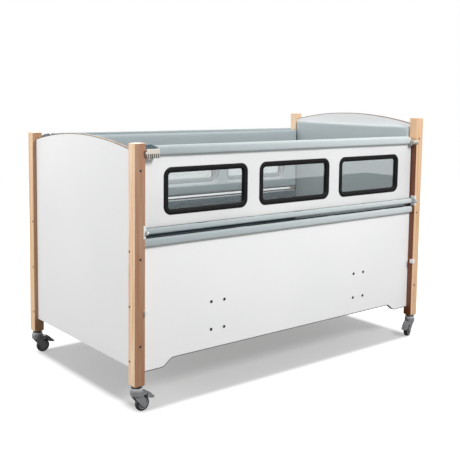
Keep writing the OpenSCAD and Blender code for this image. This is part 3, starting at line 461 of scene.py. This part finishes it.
def coated_cloth(name, colour, shade, painted_light_tone=None, sheen=0.25, gloss=0.5):
    """Coated cloth. The weave is two crossed sine waves of the thread spacing, drawn coarser than the real
    0.5 mm so that it shows, and slow noise gives the tone its handling marks. Towards the head end the tone
    runs into the lighter painted_light_tone, where there is one: painted light."""
    made, tree = blank_material(name)
    place = add(tree, "TexCoord").outputs["Object"]
    drift = add(tree, "TexNoise", {"Vector": place, "Scale": 5.0, "Detail": 3.0})
    tone = add(tree, "Mix", {"Factor": drift.outputs["Fac"], "A": srgb(colour), "B": srgb(shade)},
               data_type="RGBA")
    axes = add(tree, "SeparateXYZ", {"Vector": place})
    if painted_light_tone:
        along = add(tree, "MapRange", {"Value": axes.outputs["X"], "From Min": -0.9, "From Max": 0.9})
        tone = add(tree, "Mix", {"Factor": along.outputs[0], "A": tone.outputs["Result"], "B": srgb(painted_light_tone)},
                   data_type="RGBA")
    wave = 2 * math.pi / (WEAVE_MM * MM)
    threads = []
    for axis in ("X", "Y", "Z"):
        scaled = add(tree, "Math", {0: axes.outputs[axis], 1: wave}, operation="MULTIPLY")
        threads.append(add(tree, "Math", {0: scaled.outputs[0]}, operation="SINE"))
    pair = add(tree, "Math", {0: threads[0].outputs[0], 1: threads[2].outputs[0]}, operation="MAXIMUM")
    weave = add(tree, "Math", {0: pair.outputs[0], 1: threads[1].outputs[0]}, operation="ADD")
    bump = add(tree, "Bump", {"Height": weave.outputs[0], "Strength": 0.10, "Distance": 0.0002})
    crease = add(tree, "TexNoise", {"Vector": place, "Scale": 22.0, "Detail": 2.0, "Distortion": 0.8})
    soft = add(tree, "Bump", {
        "Height": crease.outputs["Fac"], "Strength": 0.25, "Distance": 0.002, "Normal": bump.outputs[0]})
    coat = add(tree, "BsdfPrincipled", {
        "Base Color": tone.outputs["Result"], "Roughness": 0.55, "IOR": 1.45, "Normal": soft.outputs[0],
        "Specular IOR Level": gloss, "Sheen Weight": sheen, "Sheen Roughness": 0.5})
    add(tree, "OutputMaterial", {"Surface": coat.outputs[0]})
    return made


lining = coated_cloth("grey_blue_coated_cloth", "#B9C2C4", "#AEB8BA")
# The covers' cloth runs lighter towards the head end: painted light.
cover_cloth = coated_cloth("grey_blue_cover_cloth", "#A6B0B2", "#9CA6A8", painted_light_tone="#C5CDCE", sheen=0.06)
# The back top cover's cloth is a darker copy of the covers' cloth: painted shade.
shaded_back_cover_cloth = coated_cloth(
    "grey_blue_cover_cloth_back_painted_shade", "#949EA1", "#8A9497", painted_light_tone="#A9B2B4", sheen=0.06)
# The window pads' cloth is a darker copy of the lining: painted shade.
shaded_window_pad_cloth = coated_cloth("grey_blue_window_pad_cloth_painted_shade", "#A6B0B3", "#9CA6A9")
# Dark petrol cloth: the bunched cloth's own colour, and partly painted shade where it covers the lower pads
# and fills the corners.
dark_petrol_and_shade_cloth = coated_cloth("dark_petrol_cloth_and_painted_shade", "#23434E", "#1C353F")
# Black cloth for the edges that face each other across the gaps: painted shade.
gap_shade_cloth = coated_cloth("black_cloth_painted_gap_shade", "#0D1113", "#090C0E", sheen=0.0, gloss=0.1)


# Edge covers: foam strips in cloth, lapped over the boards' edges. They are sewn as long tubes, so
# the cloth lies in shallow waves along the board and gathers into small folds at the ends.
def cut_corners(loop, rounds):
    """Rounds a closed outline by cutting each corner at a quarter of both sides, several times over."""
    for _ in range(rounds):
        following = np.roll(loop, -1, axis=0)
        loop = np.stack([loop * 0.75 + following * 0.25, loop * 0.25 + following * 0.75], 1).reshape(-1, 2)
    return loop


def cover_section(face, board, free, edge, skin, proud, seat=0.0003):
    """Section of a cover in (distance from the bed's middle, height): a leg in front of the board's face,
    free at one end, and a skin that goes over the board's edge to its inner face."""
    d = 1 if edge > free else -1
    wrap = edge + d * (skin + seat)
    inner = face - board + seat
    outline = [
        (face + seat, free), (face + proud * 0.55, free - d * 0.001),
        (face + proud * 0.95, free + d * 0.004), (face + proud, (free + wrap) / 2),
        (face + proud * 0.97, wrap - d * 0.006), (face + proud * 0.62, wrap),
        (face - board * 0.4, wrap + d * 0.0005), (inner, wrap),
        (inner, edge + d * seat), (face - board * 0.4, edge + d * seat),
        (face + seat, edge + d * seat), (face + seat, (free + edge) / 2),
    ]
    return cut_corners(np.array(outline), 2)


def cover_surface(section, face, x0, x1, steps, folds, seed):
    """Carries the section along X. Points in front of the board swell outwards by slow waves, and near
    each end by short folds that fade within 12 cm. Both are sums of sines with phases from the seed."""
    x = np.linspace(x0, x1, steps)
    rng = np.random.default_rng(seed)
    slow = sum(a * np.sin(2 * np.pi * x / w + p) for a, w, p in zip(
        (0.0010, 0.0006, 0.0004), (0.62, 0.23, 0.11), rng.uniform(0, 6.28, 3)))
    end = np.exp(-np.minimum(x - x0, x1 - x) / 0.05)
    short = folds * end * np.sin(2 * np.pi * x / 0.021 + rng.uniform(0, 6.28))
    outer = np.clip((section[:, 0] - face) / 0.012, 0, 1)
    tilt = np.sin(section[:, 1] * 2 * np.pi / 0.045 + 1.3)
    swell = (slow[:, None] + short[:, None] * (0.7 + 0.3 * tilt[None])) * outer[None]
    y = section[None, :, 0] + swell
    z = section[None, :, 1] + swell * 0.35
    return np.stack([np.broadcast_to(x[:, None], y.shape), y, z], -1)


# How far the black tongue of painted shade on a facing cover reaches in front of the board, and the covers'
# thickness over the board's edge: the top covers are thick, the back one more so, and the covers that face
# each other thin
SHADE_TONGUE = 0.013
TOP_SKIN = {"front": 0.012, "back": 0.021}
FACING_SKIN = 0.0055


def add_cover(name, node, body, side, free, edge, skin, proud, folds, seed, shade_tongue=False):
    """One edge cover, which stands for the CAD node of the same place and length. Where two covers face each
    other, the tongue over the board's edge is black cloth, painted shade in the gap between them."""
    low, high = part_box(node)
    board_low, board_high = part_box("lower_panel_" + side)
    board = board_high.y - board_low.y
    face = max(abs(board_low.y), abs(board_high.y))
    section = cover_section(face, board, free, edge, skin, proud)
    points = cover_surface(section, face, low.x, high.x, 400, folds, seed)
    points[..., 1] *= SIDES[side]
    cloth = shaded_back_cover_cloth if node == "top_cover_back" else cover_cloth
    piece = finish_piece(
        name, grid_mesh(name, points, wrap_v=True), cloth, body, fold_ends=True)
    # The tongue in the gap is black cloth: painted shade.
    if shade_tongue:
        piece.data.materials.append(gap_shade_cloth)
        for polygon in piece.data.polygons:
            polygon.material_index = int(abs(polygon.center.y) < face + SHADE_TONGUE)
    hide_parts(node)


for number, side in enumerate(SIDES):
    flap_low, flap_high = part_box("flap_panel_" + side)
    add_cover(f"top_edge_cover_{side}", "top_cover_" + side, "flap_" + side, side,
              free=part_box("top_cover_" + side)[0].z, edge=flap_high.z, skin=TOP_SKIN[side], proud=0.0245,
              folds=0.0022, seed=11 + number)
    add_cover(f"lower_edge_cover_{side}", "mid_cover_" + side, "flap_" + side, side,
              free=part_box("mid_cover_" + side)[1].z, edge=flap_low.z, skin=FACING_SKIN, proud=0.022,
              folds=0.0006, seed=21 + number, shade_tongue=True)
    add_cover(f"fixed_side_cover_{side}", "low_cover_" + side, "frame", side,
              free=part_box("low_cover_" + side)[0].z, edge=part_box("lower_panel_" + side)[1].z,
              skin=FACING_SKIN, proud=0.022, folds=0.0006, seed=31 + number, shade_tongue=True)


# Open ends of the top covers: the dark petrol cloth is bunched over each foot-end lock case. Narrow strips of
# it close the four corners between the side pads and the end pads, as painted shade in those deep corners.

# Width of the bunched cloth, its lap on the board and cover, and its gap above the board. Then the
# strips' distance from the post and their thickness, and the same across the bed and upwards
BUNCH_WIDTH, BUNCH_LAP, BUNCH_GAP = 0.039, 0.004, 0.0005
STRIP_FROM_POST, STRIP_THICK = 0.0008, 0.0022
STRIP_FROM_BOARD, STRIP_WIDTH = 0.001, 0.016
STRIP_FOOT, STRIP_TOP = 0.01, 0.004


def bunched_cloth(name, x0, x1, y0, y1, base, body, seed):
    """A small gathered cloth: the top is a sum of two slanted sine folds over a dome, the underside is
    flat."""
    u, v = np.linspace(0, 1, 49), np.linspace(0, 1, 25)
    uu, vv = np.meshgrid(u, v, indexing="ij")
    phase = np.random.default_rng(seed).uniform(0, 6.28, 2)
    dome = np.sin(np.pi * uu) ** 0.5 * np.sin(np.pi * vv) ** 0.4
    folds = (0.6 * np.sin(2 * np.pi * (3.2 * uu + 0.9 * vv) + phase[0])
             + 0.4 * np.sin(2 * np.pi * (5.1 * uu - 1.4 * vv) + phase[1]))
    top = base + 0.001 + dome * (0.014 + 0.007 * folds)
    x, y = x0 + (x1 - x0) * uu, y0 + (y1 - y0) * vv
    upper = np.stack([x, y, top], -1)
    lower = np.stack([x, y, np.full_like(x, base)], -1)
    rings = np.concatenate([upper, lower[:, ::-1]], 1)
    return finish_piece(
        name, grid_mesh(name, rings, wrap_v=True), dark_petrol_and_shade_cloth, body, fold_ends=True)


def corner_shade_strip(name, x0, x1, y0, y1, z0, z1):
    """A flat strip with a soft edge, painted shade in a deep corner: a rounded outline in plan, carried
    upwards.
    """
    loop = cut_corners(np.array([(x0, y0), (x1, y0), (x1, y1), (x0, y1)]), 3)
    z = np.linspace(z0, z1, 30)
    rings = np.stack([np.concatenate([loop, np.full((len(loop), 1), h)], 1) for h in z])
    return finish_piece(
        name, grid_mesh(name, rings, wrap_v=True), dark_petrol_and_shade_cloth, "frame", fold_ends=True)


for side, sign in SIDES.items():
    board_low, board_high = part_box("flap_panel_" + side)
    cover_low, cover_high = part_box("top_cover_" + side)
    inner = min(abs(board_low.y), abs(board_high.y))
    ys = sorted((sign * inner, sign * (inner + BUNCH_WIDTH)))
    piece = bunched_cloth("bunched_cloth_" + side, board_low.x + BUNCH_LAP, cover_low.x + BUNCH_LAP,
                          ys[0], ys[1], board_high.z + BUNCH_GAP, "flap_" + side, seed=41)
    for end, node in (("foot", "foot_pad"), ("head", "head_pad")):
        pad_low, pad_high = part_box(node)
        post_low, post_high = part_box(f"post_{end}_{side}")
        plane = min(abs(post_low.x), abs(post_high.x))
        way = -1 if end == "foot" else 1
        xs = sorted(way * (plane - STRIP_FROM_POST - depth) for depth in (0, STRIP_THICK))
        ys = sorted(sign * (inner - STRIP_FROM_BOARD - depth) for depth in (0, STRIP_WIDTH))
        strip = corner_shade_strip(f"corner_shade_strip_{end}_{side}", xs[0], xs[1], ys[0], ys[1],
                             pad_low.z + STRIP_FOOT, min(pad_high.z, cover_high.z) - STRIP_TOP)


# Pads and mattress: foam in coated cloth, taut, with a slight swell. Their soft form comes from
# a short cloth simulation of the CAD shape under pressure, done once for each pair of like pads.

# Remeshing size, pressure and greatest shift of the simulation, its frames, the room that each pad
# may swell into, the black hem of painted shade on the window pads, and half the end pads' width between the
# sides
PAD_AIR = {"voxel": 0.007, "pressure": 2.5, "cap": 0.003}
MATTRESS_AIR = {"voxel": 0.012, "pressure": 3.0, "cap": 0.008}
AIR_FRAMES = 12
PAD_SWELL, MATTRESS_SWELL = 0.001, 0.006
PAD_SHADE_HEM = 0.008
END_PAD_HALF = 0.5195


def coordinates(mesh):
    """A mesh's vertices as an array of shape (n, 3)."""
    flat = np.empty(len(mesh.vertices) * 3)
    mesh.vertices.foreach_get("co", flat)
    return flat.reshape(-1, 3)


def inflate(node, name, voxel, pressure, cap):
    """Remeshes a copy of a CAD solid into even quads, runs it as cloth under pressure with no gravity, and
    keeps each point within cap of where it started."""
    mesh = nodes[node].data.copy()
    work = bmesh.new()
    work.from_mesh(mesh)
    bmesh.ops.remove_doubles(work, verts=work.verts, dist=1e-6)
    work.to_mesh(mesh)
    work.free()
    mesh.materials.clear()
    piece = bpy.data.objects.new(name, mesh)
    scene.collection.objects.link(piece)
    bpy.context.view_layer.objects.active = piece
    remesh = piece.modifiers.new("even", "REMESH")
    remesh.mode = "VOXEL"
    remesh.voxel_size = voxel
    depsgraph = bpy.context.evaluated_depsgraph_get()
    even = bpy.data.meshes.new_from_object(piece.evaluated_get(depsgraph))
    piece.modifiers.clear()
    piece.data = even
    start = coordinates(even)
    cloth = piece.modifiers.new("air", "CLOTH")
    cloth.settings.quality = 3
    cloth.settings.mass = 0.3
    cloth.settings.use_pressure = True
    cloth.settings.uniform_pressure_force = pressure
    cloth.settings.tension_stiffness = 20
    cloth.settings.compression_stiffness = 15
    cloth.settings.bending_stiffness = 0.5
    cloth.settings.effector_weights.gravity = 0
    cloth.collision_settings.use_self_collision = False
    cloth.collision_settings.use_collision = False
    for step in range(1, AIR_FRAMES + 1):
        scene.frame_set(step)
    depsgraph = bpy.context.evaluated_depsgraph_get()
    puffed = bpy.data.meshes.new_from_object(piece.evaluated_get(depsgraph))
    piece.modifiers.clear()
    move = coordinates(puffed) - start
    length = np.linalg.norm(move, axis=1)[:, None]
    move *= np.minimum(1, cap / np.maximum(length, 1e-9))
    puffed.vertices.foreach_set("co", (start + move).ravel())
    piece.data = puffed
    scene.frame_set(1)
    return piece


def soften(mesh, times, strength=0.5):
    """Moves each vertex towards the mean of its neighbours, several times: the foam's rounded edges."""
    edges = np.empty(len(mesh.edges) * 2, np.int64)
    mesh.edges.foreach_get("vertices", edges)
    edges = edges.reshape(-1, 2)
    points = coordinates(mesh)
    count = np.bincount(edges.ravel(), minlength=len(points))[:, None]
    for _ in range(times):
        total = np.zeros_like(points)
        np.add.at(total, edges[:, 0], points[edges[:, 1]])
        np.add.at(total, edges[:, 1], points[edges[:, 0]])
        points += (total / np.maximum(count, 1) - points) * strength
    mesh.vertices.foreach_set("co", points.ravel())
    mesh.update()


def seat_pad(mesh, axis, limits):
    """Keeps a pad in its place: along one axis, points past a limit are laid flat on it."""
    points = coordinates(mesh)
    points[:, axis] = np.clip(points[:, axis], *limits)
    mesh.vertices.foreach_set("co", points.ravel())
    mesh.update()


def mirrored(piece, name):
    """A copy of a piece mirrored across the bed's long middle plane, its faces turned outwards again."""
    mesh = piece.data.copy()
    points = coordinates(mesh) * [1, -1, 1]
    mesh.vertices.foreach_set("co", points.ravel())
    mesh.flip_normals()
    twin = bpy.data.objects.new(name, mesh)
    scene.collection.objects.link(twin)
    return twin


def dress_pad(piece, node, body, material):
    """Gives a soft piece its cloth, its body and the CAD node that it stands for."""
    piece.data.polygons.foreach_set("use_smooth", np.ones(len(piece.data.polygons), bool))
    piece.data.materials.clear()
    piece.data.materials.append(material)
    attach(piece, body)
    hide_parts(node)


for kind, label, body in (
        ("flap_pad", "window_side_pad", "flap_{}"), ("lower_pad", "lower_side_pad", "frame")):
    low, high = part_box(kind + "_front")
    pad = inflate(kind + "_front", label + "_front", **PAD_AIR)
    soften(pad.data, 2)
    seat_pad(pad.data, 1, (low.y, high.y + PAD_SWELL))
    twin = mirrored(pad, label + "_back")
    # The lower pads take the dark petrol cloth: partly their own colour, partly painted shade low in the bed.
    cloth = shaded_window_pad_cloth if kind == "flap_pad" else dark_petrol_and_shade_cloth
    for made, side in ((pad, "front"), (twin, "back")):
        dress_pad(made, f"{kind}_{side}", body.format(side), cloth)
        # The window pads' lower hem is black cloth: painted shade over the gap.
        if kind == "flap_pad":
            made.data.materials.append(gap_shade_cloth)
            for polygon in made.data.polygons:
                polygon.material_index = int(polygon.center.z < low.z + PAD_SHADE_HEM)

for node, label in (("foot_pad", "foot_end_pad"), ("head_pad", "head_end_pad")):
    low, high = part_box(node)
    pad = inflate(node, label, **PAD_AIR)
    soften(pad.data, 2)
    seat_pad(pad.data, 0, (low.x - PAD_SWELL, high.x) if node == "head_pad" else (low.x, high.x + PAD_SWELL))
    points = coordinates(pad.data) * [1, END_PAD_HALF / high.y, 1]
    pad.data.vertices.foreach_set("co", points.ravel())
    dress_pad(pad, node, "frame", lining)

# The mattress's dark grey-blue is partly its cloth's own colour and partly painted shade for the dim bottom
# of the bed.
ticking = coated_cloth("grey_blue_mattress_cloth", "#4E5F66", "#43545B")
mattress = inflate("mattress", "foam_mattress", **MATTRESS_AIR)
soften(mattress.data, 2)
low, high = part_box("mattress")
seat_pad(mattress.data, 2, (low.z, high.z + MATTRESS_SWELL))
dress_pad(mattress, "mattress", "frame", ticking)


# Bed base: welded steel tubes and brackets under grey powder coat, and sanded beech slats laid
# across the tubes.
powder, tree = blank_material("light_grey_powder_coat")
place = add(tree, "TexCoord").outputs["Object"]
pebble = add(tree, "TexNoise", {"Vector": place, "Scale": 900, "Detail": 2.0})
bump = add(tree, "Bump", {"Height": pebble.outputs["Fac"], "Strength": 0.3, "Distance": 0.0003})
drift = add(tree, "TexNoise", {"Vector": place, "Scale": 6, "Detail": 2.0})
tone = add(tree, "Mix", {"Factor": drift.outputs["Fac"], "A": srgb("#C9CBCC"), "B": srgb("#BFC1C3")},
           data_type="RGBA")
coat = add(tree, "BsdfPrincipled", {
    "Base Color": tone.outputs["Result"], "Roughness": 0.5, "Normal": bump.outputs[0]})
add(tree, "OutputMaterial", {"Surface": coat.outputs[0]})
dress(["base_frame", "support_brackets"], powder)
dress(["slats"], beech("sanded_beech_slats", "#E4C39F", "#D3AC84", 0.0))


# Fittings: white plates and buffers, plain steel arms and bolts, black screws, and die-cast lock cases,
# pale above the bolt and below it darker, with stripes for moulded ribs: that darker tone and the ribs' dark
# grooves are painted shade.
RIB_PITCH = 0.011
RIBS_BELOW_BOLT = 0.006


def plain_finish(name, light, dark, roughness, metallic=0.0, grain_mm=0.8, bump_strength=0.15):
    """A moulded or coated surface: two close tones in slow noise, and a fine grain in the bump."""
    made, tree = blank_material(name)
    place = add(tree, "TexCoord").outputs["Object"]
    drift = add(tree, "TexNoise", {"Vector": place, "Scale": 25, "Detail": 3.0})
    tone = add(tree, "Mix", {"Factor": drift.outputs["Fac"], "A": srgb(light), "B": srgb(dark)},
               data_type="RGBA")
    grain = add(tree, "TexNoise", {"Vector": place, "Scale": 1 / (grain_mm * MM), "Detail": 2.0})
    bump = add(tree, "Bump", {"Height": grain.outputs["Fac"], "Strength": bump_strength, "Distance": 0.0002})
    body = add(tree, "BsdfPrincipled", {
        "Base Color": tone.outputs["Result"], "Roughness": roughness, "Metallic": metallic,
        "Normal": bump.outputs[0]})
    add(tree, "OutputMaterial", {"Surface": body.outputs[0]})
    return made


dress(["hinge_plates"], plain_finish("white_powder_coat", "#E9EAE9", "#DEE0E0", 0.4))
dress(["buffers"], plain_finish("white_soft_pvc", "#EDEDEB", "#E2E2E0", 0.6))
zinc = plain_finish("zinc_plated_steel", "#C4C5C6", "#B4B6B8", 0.35, metallic=1.0)
dress(["hinge_arms_front", "hinge_arms_back"], zinc)
case_metal = plain_finish("warm_grey_die_cast", "#DAD3C9", "#C9C2B8", 0.45)
tree = case_metal.node_tree
coat = next(n for n in tree.nodes if n.type == "BSDF_PRINCIPLED")
tone = coat.inputs["Base Color"].links[0].from_socket
axes = add(tree, "SeparateXYZ", {"Vector": add(tree, "TexCoord").outputs["Object"]})
bolt_top = (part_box("lock_bolt_foot_front")[1].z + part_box("lock_bolt_head_front")[1].z) / 2
rib_top = bolt_top - RIBS_BELOW_BOLT
# Below the bolt the case takes a darker tone, with dark stripes between drawn ribs: painted shade under the
# bar and in the grooves.
below = add(tree, "MapRange", {
    "Value": axes.outputs["Z"], "From Min": rib_top + 0.001, "From Max": rib_top - 0.001})
rib = add(tree, "Math", {0: axes.outputs["X"], 1: 2 * math.pi / RIB_PITCH}, operation="MULTIPLY")
rib = add(tree, "Math", {0: rib.outputs[0]}, operation="SINE")
rib = add(tree, "MapRange", {"Value": rib.outputs[0], "From Min": -0.3, "From Max": 0.3})
rib_stripes_and_shade = add(tree, "Mix", {"Factor": rib.outputs[0], "A": srgb("#4A4541"), "B": srgb("#B3ACA3")},
             data_type="RGBA")
shaded_below_bolt = add(tree, "Mix", {"Factor": below.outputs[0], "A": tone, "B": rib_stripes_and_shade.outputs["Result"]},
               data_type="RGBA")
tree.links.new(shaded_below_bolt.outputs["Result"], coat.inputs["Base Color"])
dress(["lock_cases_front", "lock_cases_back"], case_metal)
bolts = ["lock_bolt_" + "_".join(c) for c in CORNERS]
dress(bolts, plain_finish("turned_steel", "#C8C8C8", "#B8B8BA", 0.3, metallic=1.0))
dress(["panel_screws", "post_screws"], plain_finish("black_oxide_screws", "#0C0C0D", "#161617", 0.5))


# Casters: grey moulded nylon forks, hubs and pedals, black rubber tyres, black nylon collars round the
# stems and pale grey bearing rings.
grey_nylon = plain_finish("mid_grey_nylon", "#868789", "#737477", 0.42, grain_mm=0.6, bump_strength=0.25)
for kind in ("fork", "hub", "pedal"):
    dress([kind + "_" + "_".join(c) for c in CORNERS], grey_nylon)
tyre_rubber = plain_finish("black_tpr_tyre", "#0D0D0E", "#161617", 0.6, grain_mm=0.5)
dress(["tyre_" + "_".join(c) for c in CORNERS], tyre_rubber)
dress(["caster_collars"], plain_finish("black_nylon_collar", "#121213", "#1C1C1E", 0.4))
dress(["caster_rings"], plain_finish("pale_grey_nylon_ring", "#B9BBBD", "#A9ABAD", 0.4))

# Pedals: each hood has two moulded side walls that reach down beside the tyre, outside its flanks.
# They turn with the pedal, and stand clear of the fork's cheeks.
WHEEL_CENTRE = (0.033, 0.038)
HOOD_ARCH = [(0.0545, 0.0925), (0.062, 0.0915), (0.072, 0.0855), (0.080, 0.0775), (0.0865, 0.0685),
             (0.0915, 0.0635)]
ARC_TURNS, ARC_RADII = (22, 50), (0.0445, 0.034)
WALL_INNER, WALL_OUTER = 0.0136, 0.0168


def pedal_wall_outline():
    """Side view of a wall, in (distance from the swivel axis, height): under the hood's arch from the pin to
    the toe, and back along an arc round the wheel's centre, just inside the tyre's edge."""
    arc = [(WHEEL_CENTRE[0] + r * math.cos(a), WHEEL_CENTRE[1] + r * math.sin(a))
           for a, r in zip(np.radians(np.linspace(*ARC_TURNS, 7)), np.linspace(*ARC_RADII, 7))]
    return np.array(HOOD_ARCH + arc)


for end, side in CORNERS:
    corner = f"{end}_{side}"
    low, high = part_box("post_" + corner)
    axis = np.array([(low.x + high.x) / 2, (low.y + high.y) / 2])
    lean = coordinates(nodes["pedal_" + corner].data).mean(axis=0)[:2] - axis
    turn = math.atan2(lean[1], lean[0])
    outline = cut_corners(pedal_wall_outline(), 1)
    vertices, faces = [], []
    for y0, y1 in ((-WALL_OUTER, -WALL_INNER), (WALL_INNER, WALL_OUTER)):
        rings = np.stack([np.stack([
            axis[0] + outline[:, 0] * math.cos(turn) - y * math.sin(turn),
            axis[1] + outline[:, 0] * math.sin(turn) + y * math.cos(turn),
            outline[:, 1]], -1) for y in (y0, y1)])
        part = grid_mesh("wall_part", rings, wrap_v=True)
        offset = len(vertices)
        vertices += [v.co[:] for v in part.vertices]
        faces += [[i + offset for i in p.vertices] for p in part.polygons]
        bpy.data.meshes.remove(part)
    mesh = bpy.data.meshes.new("pedal_walls_" + corner)
    mesh.from_pydata(vertices, [], faces)
    finish_piece("pedal_walls_" + corner, mesh, grey_nylon, "brake_" + corner,
                 smooth=False, fold_ends=True)
